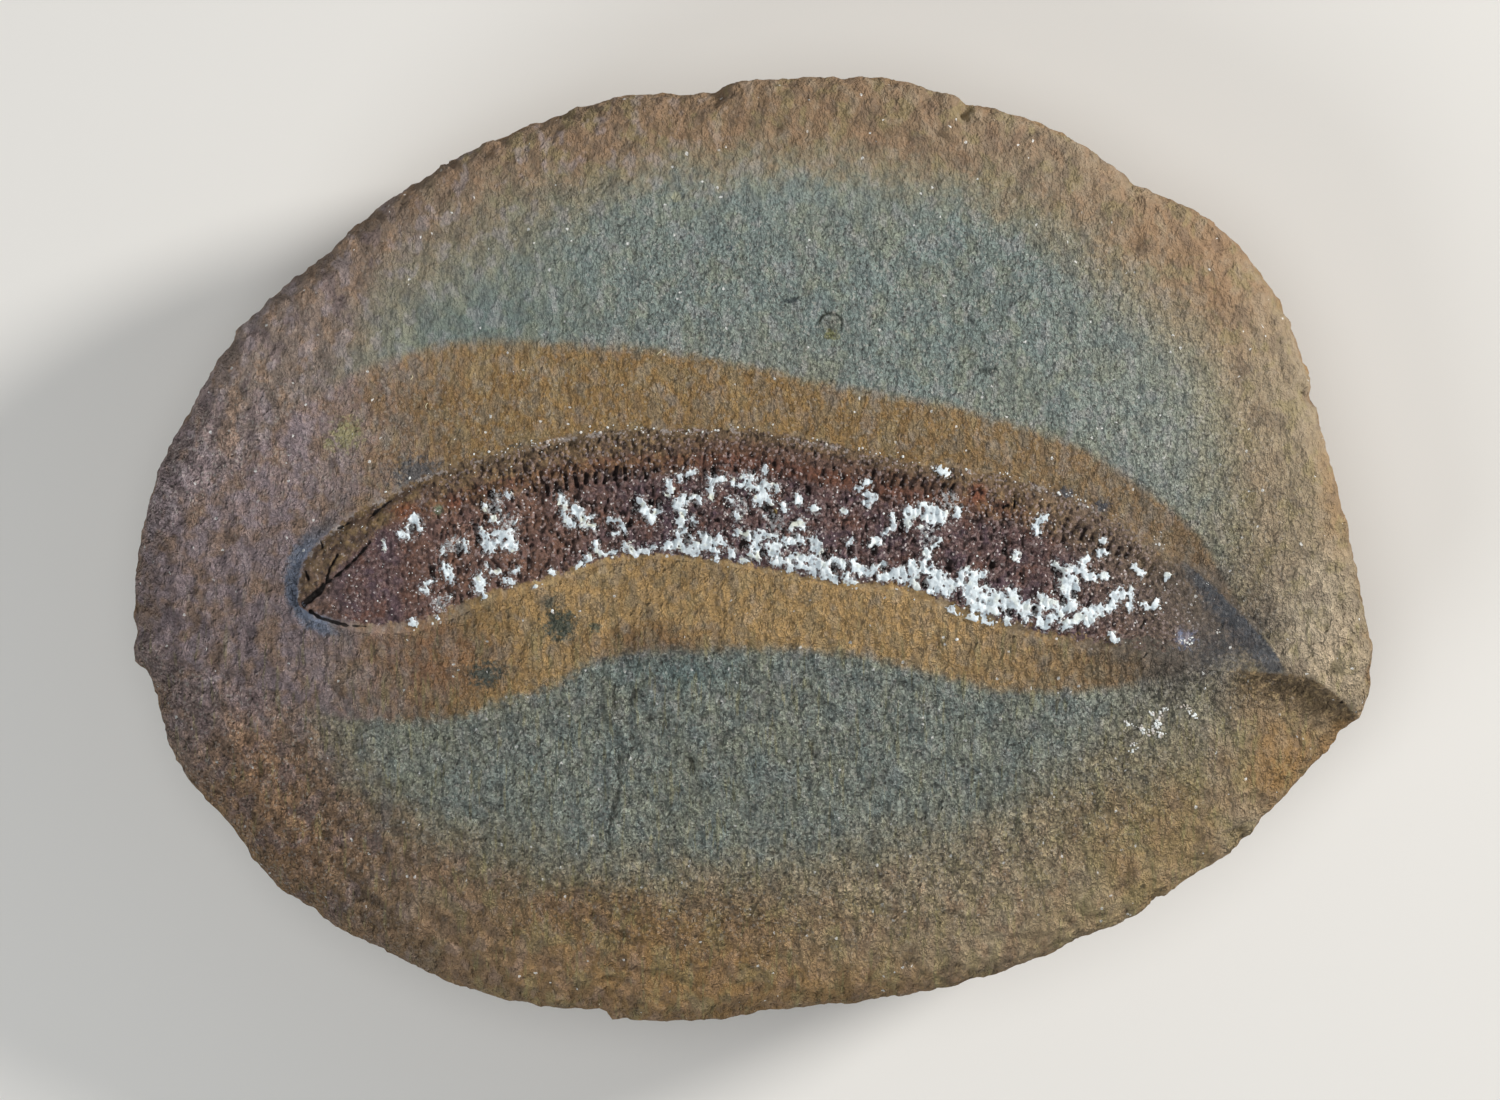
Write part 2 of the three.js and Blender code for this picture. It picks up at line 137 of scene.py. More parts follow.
# White crust, laid on in short strokes on a board of small squares, counted from its top left corner:
# from x, y to x, y, and half the stroke's width.
CRUST = [
    # head and throat
    (401, 534, 408, 537, 4), (408, 535, 411, 524, 3), (411, 524, 414, 518, 3.5), (416, 521, 419, 528, 3),
    (383, 543, 384, 550, 1.2), (411, 622, 413, 624, 2.8),
    # shoulder
    (443, 553, 449, 543, 3), (449, 543, 456, 540, 2.2), (463, 541, 466, 551, 2.2),
    (444, 567, 449, 574, 4), (449, 574, 450, 580, 3.5), (426, 584, 434, 581, 2),
    (422, 590, 425, 592, 2.8), (437, 603, 442, 608, 2.5), (436, 618, 441, 613, 2),
    (447, 599, 450, 597, 2.5), (478, 578, 479, 590, 4.5), (480, 577, 483, 583, 3.5),
    (483, 594, 484, 598, 2), (487, 566, 488, 568, 2), (491, 573, 499, 572, 2.2), (513, 573, 518, 569, 2),
    (505, 582, 511, 583, 3),
    # patch behind the shoulder
    (496, 497, 498, 503, 4), (494, 505, 497, 510, 3), (485, 506, 487, 510, 2.5), (507, 494, 509, 497, 2),
    (493, 515, 494, 520, 3.5), (482, 533, 486, 538, 4.5), (484, 540, 490, 549, 5),
    (490, 545, 497, 540, 5), (495, 535, 505, 536, 4), (505, 533, 512, 531, 4), (505, 545, 512, 548, 5),
    (512, 540, 514, 545, 4), (500, 523, 514, 523, 4),
    # front of the flank
    (561, 497, 561, 502, 3.2), (567, 503, 566, 508, 2.5), (563, 511, 565, 520, 2.2),
    (575, 508, 581, 512, 3.8), (577, 514, 583, 521, 4), (568, 523, 574, 525, 4),
    (582, 525, 588, 526, 2.8), (593, 527, 594, 530, 2.2), (586, 519, 592, 517, 2),
    (610, 521, 619, 521, 2.2), (622, 526, 625, 532, 2.2), (613, 534, 618, 533, 2),
    (640, 502, 645, 506, 4), (643, 510, 646, 512, 5), (648, 517, 653, 517, 4.2),
    (655, 514, 659, 510, 3.3), (650, 523, 652, 524, 2.2), (668, 481, 670, 488, 3),
    (671, 490, 670, 495, 3.2), (679, 477, 680, 480, 2.5), (688, 475, 693, 473, 2.8),
    # belly, front
    (627, 547, 629, 552, 4), (631, 553, 636, 556, 3.2), (638, 552, 648, 551, 3.2),
    (650, 549, 653, 547, 2.2), (596, 543, 597, 550, 2.5), (602, 554, 605, 556, 2.2),
    (611, 553, 615, 553, 2), (586, 558, 589, 558, 3.2), (578, 567, 581, 564, 2),
    (551, 573, 553, 574, 2.5), (535, 587, 537, 590, 2.6),
    # belly, below the first rise
    (666, 547, 672, 545, 4), (672, 545, 680, 540, 6), (680, 535, 684, 532, 4), (685, 543, 690, 539, 4.5),
    (683, 548, 690, 549, 5), (693, 552, 697, 552, 3.5), (693, 544, 699, 545, 3), (683, 498, 686, 503, 4),
    (677, 505, 681, 513, 4.5), (681, 512, 683, 520, 4), (679, 520, 682, 528, 2.8),
    (690, 499, 695, 497, 2), (699, 498, 700, 503, 2.5), (693, 520, 694, 523, 2.5),
    (702, 535, 705, 540, 3.8), (702, 546, 708, 546, 5), (708, 542, 715, 543, 5),
    (712, 550, 716, 552, 4.5), (716, 556, 717, 560, 2.5), (720, 537, 724, 545, 3),
    # upper middle
    (711, 479, 721, 480, 4), (711, 485, 712, 497, 2.5), (746, 477, 751, 481, 5), (746, 484, 752, 487, 4),
    (757, 497, 759, 503, 5), (760, 490, 764, 493, 5), (764, 483, 768, 487, 4), (765, 497, 769, 501, 4.5),
    (776, 488, 778, 491, 2.5), (733, 482, 736, 486, 3), (728, 499, 731, 501, 2.5),
    (737, 500, 738, 507, 2.2), (736, 511, 738, 518, 3.5), (764, 467, 765, 473, 2.2),
    (766, 517, 767, 519, 2.5), (783, 506, 785, 511, 3), (797, 498, 799, 503, 3),
    (812, 510, 816, 509, 2.5), (801, 522, 803, 527, 3), (791, 530, 794, 526, 3),
    # belly, middle
    (731, 551, 733, 556, 3.3), (738, 533, 750, 536, 3.3), (752, 538, 762, 536, 5),
    (754, 545, 758, 552, 5.5), (752, 556, 759, 558, 3.5), (765, 535, 776, 536, 3),
    (741, 560, 747, 562, 2.2), (770, 546, 778, 546, 4.5), (771, 552, 778, 556, 6),
    (773, 561, 778, 563, 3.5), (786, 542, 795, 541, 4), (798, 538, 802, 541, 3), (787, 562, 790, 568, 4),
    (792, 558, 800, 556, 3.5), (795, 565, 803, 567, 4), (803, 559, 812, 560, 5),
    (808, 568, 815, 572, 4.5), (817, 566, 820, 560, 5), (812, 540, 819, 552, 3.6),
    (812, 563, 822, 568, 6), (822, 570, 828, 572, 6), (827, 562, 836, 563, 4.5), (826, 575, 834, 580, 4),
    (840, 563, 843, 566, 3), (846, 578, 851, 582, 4), (853, 563, 855, 567, 3),
    # flank islands
    (865, 484, 868, 482, 2), (856, 489, 859, 489, 2.4), (868, 495, 872, 498, 3.3),
    (866, 502, 869, 504, 2.5), (843, 511, 845, 512, 2.3), (891, 515, 893, 524, 1.5),
    (893, 524, 892, 529, 1.8), (882, 535, 888, 529, 1.2), (874, 541, 879, 542, 2.6),
    (870, 546, 872, 544, 1.8), (851, 541, 848, 545, 1.6), (876, 568, 884, 565, 1.5),
    # belly, behind the middle
    (858, 570, 865, 573, 4), (866, 573, 874, 570, 4), (880, 578, 886, 576, 3.5),
    (893, 573, 897, 577, 3.5), (900, 573, 903, 578, 5), (912, 572, 915, 577, 3.5),
    (913, 583, 916, 588, 3.5), (911, 564, 914, 566, 3), (921, 563, 922, 570, 3), (931, 572, 938, 575, 5),
    (930, 582, 937, 584, 5.5), (929, 590, 934, 591, 3), (942, 578, 947, 584, 4),
    (944, 590, 948, 594, 3.5), (951, 583, 953, 588, 3), (962, 573, 960, 585, 3),
    (968, 572, 974, 575, 3.5), (971, 583, 974, 587, 3), (966, 590, 975, 595, 5), (978, 577, 984, 574, 2),
    (985, 588, 987, 590, 2.5),
    # rear flank patch
    (907, 510, 912, 513, 3.5), (912, 517, 917, 512, 3), (906, 517, 907, 528, 2.4),
    (928, 511, 935, 509, 4), (926, 516, 931, 521, 5), (934, 517, 941, 521, 5), (937, 512, 944, 513, 3),
    (922, 528, 930, 530, 3), (926, 536, 933, 538, 2.5), (920, 505, 925, 507, 2),
    (925, 549, 928, 558, 2.2), (932, 547, 938, 541, 2),
    (953, 506, 957, 510, 3.5), (955, 515, 956, 516, 2.2), (940, 470, 946, 473, 3),
    # belly, rear
    (978, 596, 985, 600, 5), (970, 600, 976, 605, 5), (975, 608, 985, 610, 4.5), (986, 600, 995, 604, 6),
    (990, 608, 996, 612, 4), (995, 597, 1003, 598, 4), (1003, 603, 1008, 606, 5),
    (1012, 594, 1016, 600, 5), (1015, 603, 1018, 608, 4), (1020, 610, 1025, 614, 4),
    (1008, 617, 1007, 624, 2), (950, 608, 954, 613, 3), (969, 617, 976, 619, 3), (985, 620, 990, 624, 3),
    (1026, 607, 1030, 612, 4), (1025, 618, 1026, 620, 3), (1041, 597, 1044, 601, 3.5),
    (1047, 604, 1056, 606, 5), (1040, 608, 1043, 604, 4), (1038, 613, 1040, 620, 3),
    (1040, 624, 1046, 627, 3.5), (1048, 622, 1054, 617, 3.5), (1060, 613, 1064, 610, 4),
    (1068, 605, 1074, 607, 4.5),
    # hips
    (1062, 571, 1069, 571, 4), (1072, 569, 1078, 570, 3.5), (1063, 582, 1066, 590, 5),
    (1072, 578, 1074, 588, 4), (1068, 590, 1070, 597, 4.5), (1082, 567, 1084, 574, 2.8),
    (1055, 564, 1057, 566, 2.5), (1082, 564, 1088, 558, 2.5), (1085, 578, 1095, 577, 3.2),
    (1103, 577, 1106, 576, 3), (1064, 627, 1072, 622, 3), (1072, 622, 1080, 617, 4),
    (1080, 617, 1090, 620, 4.5), (1085, 612, 1092, 611, 3), (1092, 616, 1098, 611, 3.5),
    (1100, 608, 1102, 614, 2.5), (1108, 611, 1114, 606, 2.5), (1113, 603, 1120, 598, 4),
    (1116, 595, 1122, 592, 3.5), (1131, 590, 1132, 598, 2), (1130, 605, 1131, 609, 2.3),
    (1113, 637, 1116, 640, 3),
    # tail root
    (1135, 567, 1144, 575, 2.4), (1168, 579, 1170, 575, 1.8), (1145, 605, 1148, 608, 2),
    (1154, 608, 1158, 602, 2.2), (1103, 542, 1105, 541, 2.2), (1100, 554, 1105, 553, 2.5),
    (1035, 527, 1038, 532, 3), (1040, 521, 1044, 518, 3), (1016, 553, 1017, 560, 2),
]
BOARD_SQUARE = 0.0509  # side of one square of that board
BOARD_MIDDLE = (753.5, 550.5)
# Stains on the stone: x, y, reach, how much wider than high, and colour.
STAINS = [
    (-13.65, -6.35, 0.85, 1.3, (70, 80, 76)),
    (-9.85, -3.8, 1.2, 0.9, (62, 76, 70)),
    (-10.4, -2.7, 0.6, 0.7, (92, 92, 80)),
    (-8.1, -3.9, 0.35, 1.2, (92, 96, 80)),
    (-20.8, 5.9, 1.05, 1.0, (140, 134, 100)),
    (-21.7, 5.4, 0.35, 1.1, (134, 128, 96)),
    (-17.2, 3.9, 1.1, 1.6, (84, 84, 86)),
    (-11.9, 5.2, 0.35, 1.6, (70, 70, 66)),
    (2.0, 12.75, 0.27, 2.6, (50, 58, 60)),
    (11.1, 11.7, 0.3, 1.2, (72, 78, 76)),
    (11.9, 9.1, 0.3, 2.4, (66, 72, 68)),
    (15.9, 2.75, 0.55, 1.3, (74, 76, 82)),
    (17.8, 2.25, 0.5, 1.3, (72, 74, 80)),
    (22.0, -4.5, 0.6, 1.2, (122, 128, 150)),
    (-3.95, 18.05, 0.4, 0.8, (142, 143, 122)),
    (-1.2, 15.45, 0.27, 0.8, (58, 70, 76)),
    (3.95, 11.5, 0.6, 1.0, (104, 106, 98)),
    (3.9, 11.0, 0.34, 1.6, (112, 112, 76)),
]
# Odd grains on the animal.
ODD_GRAINS = [
    (-16.05, 2.05, 0.34, 1.0, (98, 112, 92)),
    (1.05, 1.95, 0.2, 1.0, (200, 172, 96)),
    (-15.2, 2.4, 0.5, 1.3, (108, 70, 54)),
    (-17.7, 2.0, 0.6, 1.6, (118, 74, 50)),
    (11.4, 2.9, 0.7, 1.0, (118, 72, 54)),
]

# Patches where the crust thins to a speckled veil: x, y and reach.
VEILS = [
    (-15.2, 0.2, 0.6), (-16.0, -2.8, 0.7), (-12.55, 1.45, 0.55), (-13.1, 2.5, 0.5), (9.9, 2.6, 0.7),
    (8.8, 0.7, 0.7), (1.1, 1.4, 0.7), (-0.6, 2.2, 0.6),
]
# Small blooms of crust on the stone below the tail, in strokes on the board like the crust's.
BLOOM = [
    (1126, 724, 1134, 724, 2), (1137, 729, 1149, 734, 2.5), (1150, 733, 1160, 728, 2.5),
    (1158, 727, 1166, 708, 2), (1159, 739, 1165, 735, 2), (1131, 750, 1137, 747, 2),
    (1186, 708, 1194, 712, 2), (1195, 716, 1198, 718, 1), (1176, 633, 1183, 645, 1.5),
    (1184, 646, 1195, 640, 2), (1177, 636, 1190, 645, 2.5), (1181, 640, 1193, 643, 2.5),
    (1219, 632, 1222, 634, 1), (1150, 716, 1156, 712, 1.5),
]
FIBRES = [
    [(-4.9, 9.93), (-4.84, 10.02), (-4.74, 10.08), (-4.67, 10.18)],
    [(-16.7, 7.22), (-16.73, 7.34), (-16.68, 7.46), (-16.62, 7.5)],
    [(-17.45, 8.95), (-17.42, 8.86), (-17.46, 8.76), (-17.52, 8.7)],
]
# Borders of the stone's zones, left to right on the same board.
HALO_TOP = [
    (120, 560), (200, 500), (280, 420), (330, 385), (400, 355), (450, 343), (500, 340), (560, 342),
    (650, 350), (700, 357), (800, 378), (900, 398), (950, 406), (1000, 420), (1050, 435), (1100, 458),
    (1150, 490), (1200, 535), (1230, 580), (1260, 630), (1290, 670), (1400, 690),
]
HALO_BOTTOM = [
    (120, 640), (280, 700), (330, 715), (400, 722), (450, 718), (500, 702), (550, 688), (600, 660),
    (640, 652), (700, 650), (800, 650), (900, 665), (950, 680), (1000, 690), (1050, 693), (1100, 690),
    (1150, 682), (1200, 668), (1250, 655), (1300, 665), (1400, 690),
]
CRESCENT_TOP = [
    (120, 520), (250, 440), (310, 385), (350, 345), (400, 292), (450, 255), (500, 225), (600, 185),
    (700, 165), (800, 158), (900, 175), (1000, 202), (1100, 255), (1150, 292), (1200, 345), (1225, 400),
    (1243, 460), (1256, 520), (1264, 580), (1272, 680), (1400, 1000),
]
CRESCENT_BOTTOM = [
    (120, 560), (270, 640), (300, 700), (320, 740), (350, 775), (400, 810), (450, 835), (500, 855),
    (600, 870), (700, 878), (800, 868), (900, 855), (1000, 825), (1050, 800), (1100, 770), (1150, 735),
    (1200, 705), (1250, 680), (1320, 660), (1400, 640),
]
TAIL_STREAK = [(1165, 548), (1197, 570), (1217, 588), (1236, 608), (1260, 631), (1276, 651), (1292, 676)]
RIDGE = [(1240, 670), (1262, 672), (1285, 674), (1310, 678), (1326, 685), (1345, 699), (1368, 722)]
# The blue-grey mark that runs round the snout.
SNOUT_MARK = [
    (358, 508), (338, 519), (315, 533), (299, 552), (291, 572),
    (290, 592), (297, 609), (311, 622), (330, 630),
]
# Fine creases down the middle of the lower face.
CREASES = [
    [(614, 688), (615, 714), (624, 722), (632, 738), (631, 755)],
    [(619, 757), (617, 770), (620, 786), (616, 800), (611, 820), (607, 856)],
    [(636, 690), (629, 709)], [(642, 718), (661, 718)], [(668, 847), (679, 849), (688, 857)],
    [(725, 829), (726, 832)], [(690, 760), (694, 772)], [(812, 745), (815, 760)],
]
# Dents and knobs on the rim: x, y and reach on the board, and height.
CHIPS = [
    (140, 652, 22, 0.45), (158, 694, 18, -0.35), (966, 110, 15, -0.5), (948, 100, 16, 0.2),
    (1312, 398, 14, -0.3), (1300, 372, 16, 0.2), (614, 1016, 14, 0.4), (598, 1004, 12, -0.25),
    (716, 92, 16, -0.25), (1136, 190, 18, -0.25), (1226, 244, 12, -0.25), (1352, 712, 12, -0.2),
    (1246, 838, 12, -0.25), (1160, 900, 12, -0.25), (330, 918, 12, -0.2), (244, 842, 12, -0.25),
    (1349, 612, 18, -0.35), (1356, 664, 20, 0.3),
]
# Broad tints over the stone's face: x, y, reach and width on the board, colour and strength. Some are
# partly painted light, as noted.
BLOTCHES = [
    # Partly painted light: the left is toned up against the shade it gets from the key lamp on the right.
    (225, 600, 170, 0.8, (144, 129, 132), 0.95),
    (250, 770, 80, 0.8, (145, 113, 84), 0.8),
    (300, 850, 70, 1.0, (141, 109, 80), 0.7),
    (400, 880, 130, 1.2, (114, 96, 79), 0.5),
    # These two are partly painted light, toned up against the shade of the lower face.
    (720, 970, 130, 1.9, (140, 110, 70), 0.8),
    (1130, 870, 130, 1.2, (138, 113, 66), 0.9),
    (1290, 765, 75, 0.9, (141, 108, 62), 0.8),
    (1190, 255, 120, 1.2, (136, 106, 78), 0.7),
    (1345, 490, 90, 0.35, (146, 114, 76), 0.6),
    (760, 120, 120, 2.4, (130, 106, 80), 0.5),
    (950, 880, 110, 2.4, (162, 150, 128), 0.75),
    (470, 640, 120, 1.3, (140, 104, 64), 0.7),
    (700, 385, 80, 3.0, (142, 108, 70), 0.5),
    # These two are partly painted light: the upper plane of the tip, which faces the key lamp, is made
    # paler.
    (1318, 622, 85, 0.7, (168, 155, 134), 0.9),
    (1342, 662, 45, 0.7, (192, 173, 146), 0.8),
    (280, 370, 110, 0.8, (120, 107, 97), 0.9),
]
# Darker strips along the borders of the ochre halo, told like the tints.
STRIPS = [
    (440, 662, 50, 1.7, (146, 107, 80), 0.6),
    (650, 643, 24, 3.6, (104, 78, 58), 0.7),
    (675, 671, 26, 3.6, (94, 112, 110), 0.7),
    (500, 322, 34, 3.0, (98, 112, 108), 0.6),
    (410, 405, 44, 2.0, (112, 88, 58), 0.5),
    (470, 225, 34, 2.0, (112, 100, 84), 0.5),
]


# ---- Modelling ----
def only(piece):
    """Selects this piece and nothing else."""
    bpy.ops.object.select_all(action="DESELECT")
    piece.select_set(True)
    bpy.context.view_layer.objects.active = piece


def new_piece(name, mesh):
    piece = bpy.data.objects.new(name, mesh)
    bpy.context.scene.collection.objects.link(piece)
    return piece


def named(name):
    """The primitive just added, under a name of its own."""
    piece = bpy.context.object
    piece.name = name
    return piece


def places(piece):
    """The piece's points, one row each, in millimetres."""
    found = np.empty(len(piece.data.vertices) * 3)
    piece.data.vertices.foreach_get("co", found)
    return found.reshape(-1, 3) / MM


def move_to(piece, points):
    piece.data.vertices.foreach_set("co", (points * MM).ravel())
    piece.data.update()


def face_places(piece):
    """Centres in millimetres, and normals, of the piece's faces."""
    centres = np.empty(len(piece.data.polygons) * 3)
    normals = np.empty(len(piece.data.polygons) * 3)
    piece.data.polygons.foreach_get("center", centres)
    piece.data.polygons.foreach_get("normal", normals)
    return centres.reshape(-1, 3) / MM, normals.reshape(-1, 3)


def edit(piece, kind, chosen):
    """Enters edit mode with just these vertices or polygons selected."""
    only(piece)
    bpy.ops.object.mode_set(mode="EDIT")
    bpy.ops.mesh.select_mode(type="VERT" if kind == "vertices" else "FACE")
    bpy.ops.mesh.select_all(action="DESELECT")
    bpy.ops.object.mode_set(mode="OBJECT")
    getattr(piece.data, kind).foreach_set("select", np.asarray(chosen, bool))
    bpy.ops.object.mode_set(mode="EDIT")


def leave_edit(facing_out=False):
    """Leaves edit mode, with every face turned outwards first where that is asked."""
    if facing_out:
        bpy.ops.mesh.select_all(action="SELECT")
        bpy.ops.mesh.normals_make_consistent(inside=False)
    bpy.ops.object.mode_set(mode="OBJECT")


def apply(piece, kind, **settings):
    """Adds one modifier with these settings and applies it."""
    only(piece)
    modifier = piece.modifiers.new(kind.title(), kind)
    for setting, value in settings.items():
        setattr(modifier, setting, value)
    bpy.ops.object.modifier_apply(modifier=modifier.name)


def push(piece, weights, height, direction="Z", mid_level=0, **settings):
    """Raises the piece by height millimetres where the weights are 1. A negative height presses it in."""
    group = piece.vertex_groups.new(name="push")
    for index in np.flatnonzero(weights > 0.003):
        group.add([int(index)], float(min(weights[index], 1)), "REPLACE")
    settings.update(vertex_group="push", direction=direction, mid_level=mid_level, strength=height * MM)
    apply(piece, "DISPLACE", **settings)
    piece.vertex_groups.remove(piece.vertex_groups["push"])


def smooth_step(value, low, high):
    share = np.clip((value - low) / (high - low), 0, 1)
    return share * share * (3 - 2 * share)


def bumps(points, size, seed=0):
    """Soft random heights, about -1 to 1, alike over roughly one size, which may differ by axis."""
    shift = Vector((17.3, 5.1, 9.7)) * (seed + 1)
    spread = np.atleast_2d(points) / size
    return np.array([noise.noise(Vector(place) + shift) for place in spread]) * 1.6


def through(bends, count):
    """Points evenly spaced along a smooth line through the bends."""
    corners = np.array(bends, float)
    framed = np.vstack([2 * corners[0] - corners[1], corners, 2 * corners[-1] - corners[-2]])
    share = np.linspace(0, 1, 24, endpoint=False)[:, None]
    runs = []
    for before, start, end, after in zip(framed, framed[1:], framed[2:], framed[3:]):
        bend = (2 * before - 5 * start + 4 * end - after) * share**2
        bend = bend + (3 * start - before - 3 * end + after) * share**3
        runs.append((2 * start + (end - before) * share + bend) / 2)
    line = np.vstack(runs + [corners[-1:]])
    gone = np.append(0, np.cumsum(np.linalg.norm(np.diff(line, axis=0), axis=1)))
    evenly = np.linspace(0, gone[-1], count)
    return np.column_stack([np.interp(evenly, gone, line[:, axis]) for axis in (0, 1)])


def from_stroke(points, start, end):
    """How far each point is, seen from above, from the straight stroke between two places."""
    start, end = np.array(start, float), np.array(end, float)
    along = end - start
    share = ((points[:, :2] - start) @ along) / max(along @ along, 1e-9)
    nearest = start + np.clip(share, 0, 1)[:, None] * along
    return np.linalg.norm(points[:, :2] - nearest, axis=1)


def from_line(points, bends):
    return np.min([from_stroke(points, here, there) for here, there in zip(bends, bends[1:])], axis=0)


def on_board(x, y):
    """A place on the board, in millimetres from the stone's middle."""
    return np.array((x - BOARD_MIDDLE[0], BOARD_MIDDLE[1] - y)) * BOARD_SQUARE


def note(piece, name, values):
    """Keeps one number for each of the piece's points, for its material to read."""
    attribute = piece.data.attributes.new(name, "FLOAT", "POINT")
    attribute.data.foreach_set("value", np.asarray(values, np.float32))


def smooth_shaded(piece):
    only(piece)
    bpy.ops.object.shade_smooth()


def note_snout(piece, points):
    """How far each point is from the mark round the snout."""
    note(piece, "snout", from_line(points, [on_board(*bend) for bend in SNOUT_MARK]))


# ---- The stone ----
def close_pocket(stone):
    """Takes the pocket's walls and floor away and bridges its mouth, so that the face is whole."""
    centres, normals = face_places(stone)
    low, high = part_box("embolomere_body")
    near = (centres[:, 0] > low.x / MM - 0.7) & (centres[:, 0] < high.x / MM + 0.9)
    near &= (centres[:, 1] > low.y / MM - 0.7) & (centres[:, 1] < high.y / MM + 0.7)
    edit(stone, "polygons", near & (abs(normals[:, 2]) < 0.3) & (centres[:, 2] > FACE_ABOVE + 0.7))
    bpy.ops.mesh.delete(type="FACE")
    leave_edit()
    points = places(stone)
    floor_middle = np.array([0, 2.6, 11.3])
    middle = np.linalg.norm(points - floor_middle, axis=1).argmin()
    edit(stone, "vertices", np.arange(len(points)) == middle)
    bpy.ops.mesh.select_linked()
    bpy.ops.mesh.delete(type="VERT")
    bpy.ops.mesh.select_mode(type="EDGE")
    bpy.ops.mesh.select_all(action="DESELECT")
    bpy.ops.mesh.select_non_manifold(extend=False)
    bpy.ops.mesh.fill()
    leave_edit(facing_out=True)


def fold_at_tip(stone, points):
    """Presses the face in along the lower side of the ridge at the tip."""
    line = np.array([on_board(x, y) for x, y in RIDGE])
    beneath = np.interp(points[:, 0], line[:, 0], line[:, 1]) - points[:, 1]
    away = from_line(points, line)
    near = smooth_step(points[:, 0], 24.4, 28.6) * (points[:, 2] > FACE_ABOVE - 3)
    step = (1 - np.exp(-np.clip(beneath, 0, None) / 0.45)) * (1 - smooth_step(away, 1.2, 5))
    push(stone, step * near, -0.78)
    push(stone, np.exp(-((away / 0.45) ** 2)) * near, 0.14)


def chip_rim(stone, points):
    """Dents and knobs, one by one."""
    for x, y, reach, height in CHIPS:
        away = np.linalg.norm(points[:, :2] - on_board(x, y), axis=1) / (reach * BOARD_SQUARE)
        push(stone, (1 - smooth_step(away, 0.2, 1)) * (points[:, 2] > 4), height, direction="NORMAL")


def rim_ripples(points, out):
    """Soft ripples that run along the rim, 0 to 1."""
    turn = np.arctan2(points[:, 1] / HALF_WIDE, points[:, 0] / HALF_LONG)
    rolled = np.column_stack([turn * 28, out * 28 / 0.42, points[:, 2] * 0.3])
    outer = smooth_step(out, 0.5, 0.85) * (points[:, 2] > FACE_ABOVE - 3)
    ripples = np.zeros(len(points))
    some = np.flatnonzero(outer > 0)
    ripples[some] = (0.5 + 0.5 * bumps(rolled[some], 1, 15)) * outer[some]
    return ripples


def press_creases(stone, points):
    """Fine creases in the lower face, the two longest with a raised lip on their left."""
    lines = [[on_board(*bend) for bend in line] for line in CREASES]
    creases = np.min([from_line(points, line) for line in lines], axis=0)
    beside = np.min([from_line(points + (0.3, 0, 0), line) for line in lines[:2]], axis=0)
    top = points[:, 2] > FACE_ABOVE
    push(stone, (1 - smooth_step(creases, 0.02, 0.3)) * top, -0.12)
    push(stone, (1 - smooth_step(beside, 0, 0.4)) * top, 0.12)
    note(stone, "crease", (1 - smooth_step(creases, 0, 0.34)) * top)


def rock_texture(name, size, depth):
    texture = bpy.data.textures.new(name, "CLOUDS")
    texture.noise_scale = size * MM
    texture.noise_depth = depth
    return texture


def make_stone():
    stone = new_piece("concretion_stone", frame["nodes"]["concretion_half"].data.copy())
    stone.data.materials.clear()
    edit(stone, "vertices", np.ones(len(stone.data.vertices)))
    bpy.ops.mesh.remove_doubles(threshold=1e-6)
    leave_edit()
    close_pocket(stone)
    apply(stone, "REMESH", mode="VOXEL", voxel_size=STONE_VOXEL * MM)
    apply(stone, "SMOOTH", factor=0.5, iterations=5)
    centres, normals = face_places(stone)
    edit(stone, "polygons", (normals[:, 2] > 0.1) & (centres[:, 2] > FACE_ABOVE))
    bpy.ops.mesh.subdivide(number_cuts=1, quadcorner="INNERVERT")
    leave_edit()
    points = places(stone)
    out = np.hypot(points[:, 0] / HALF_LONG, points[:, 1] / HALF_WIDE)  # 1 along the outline
    rim = smooth_step(out, 0.78, 0.98)
    below = smooth_step(points[:, 2], FOOT_CLEAR, FOOT_CLEAR + 1) * (points[:, 2] < FACE_ABOVE)
    face = (points[:, 2] >= FACE_ABOVE) * (1 - rim)
    calm = 0.45 + 0.55 * smooth_step(points[:, 2], FACE_ABOVE, FACE_ABOVE + 1.8)
    push(stone, rim + below, 0.1, direction="NORMAL")
    fold_at_tip(stone, points)
    chip_rim(stone, points)
    push(stone, rim_ripples(points, out) * calm, 0.17, direction="NORMAL")
    for name, size, depth, on_face, on_rim, on_back in [
        ("swell", 5.5, 1, 0.35, 0.4, 0.5),
        ("knobs", 1.4, 2, 0.2, 0.38, 0.6),
        ("grain", 0.6, 2, 0.2, 0.45, 0.5),
    ]:
        rock = {"texture": rock_texture(name, size, depth), "texture_coords": "LOCAL"}
        weights = (on_face * face + on_rim * rim * calm + on_back * below) / on_back
        push(stone, weights, on_back, mid_level=0.5, direction="NORMAL", **rock)
    points = places(stone)
    press_creases(stone, points)
    note_snout(stone, points)
    smooth_shaded(stone)
    return stone


# ---- The animal ----
BACK_LINE = through(BACK, BODY_COLUMNS + 1)
BELLY_LINE = through(BELLY, BODY_COLUMNS + 1)


def pushed_out(line, side, distance):
    """The line moved sideways, away from the body."""
    along = np.gradient(line, axis=0)
    along /= np.linalg.norm(along, axis=1)[:, None]
    return line + side * distance * np.column_stack([-along[:, 1], along[:, 0]])


def body_places(along, across, lip):
    """Where a share of the way from snout to tail and from belly to back lies on the face."""
    belly, back = pushed_out(BELLY_LINE, -1, lip), pushed_out(BACK_LINE, 1, lip)
    steps = np.linspace(0, 1, BODY_COLUMNS + 1)
    low = np.column_stack([np.interp(along, steps, belly[:, axis]) for axis in (0, 1)])
    high = np.column_stack([np.interp(along, steps, back[:, axis]) for axis in (0, 1)])
    return low + (high - low) * across[:, None]


def along_and_across(sheet):
    """How far along and across a new grid, one metre square, each of its points lies, 0 to 1."""
    flat = places(sheet) * MM
    return flat[:, 0] + 0.5, flat[:, 1] + 0.5


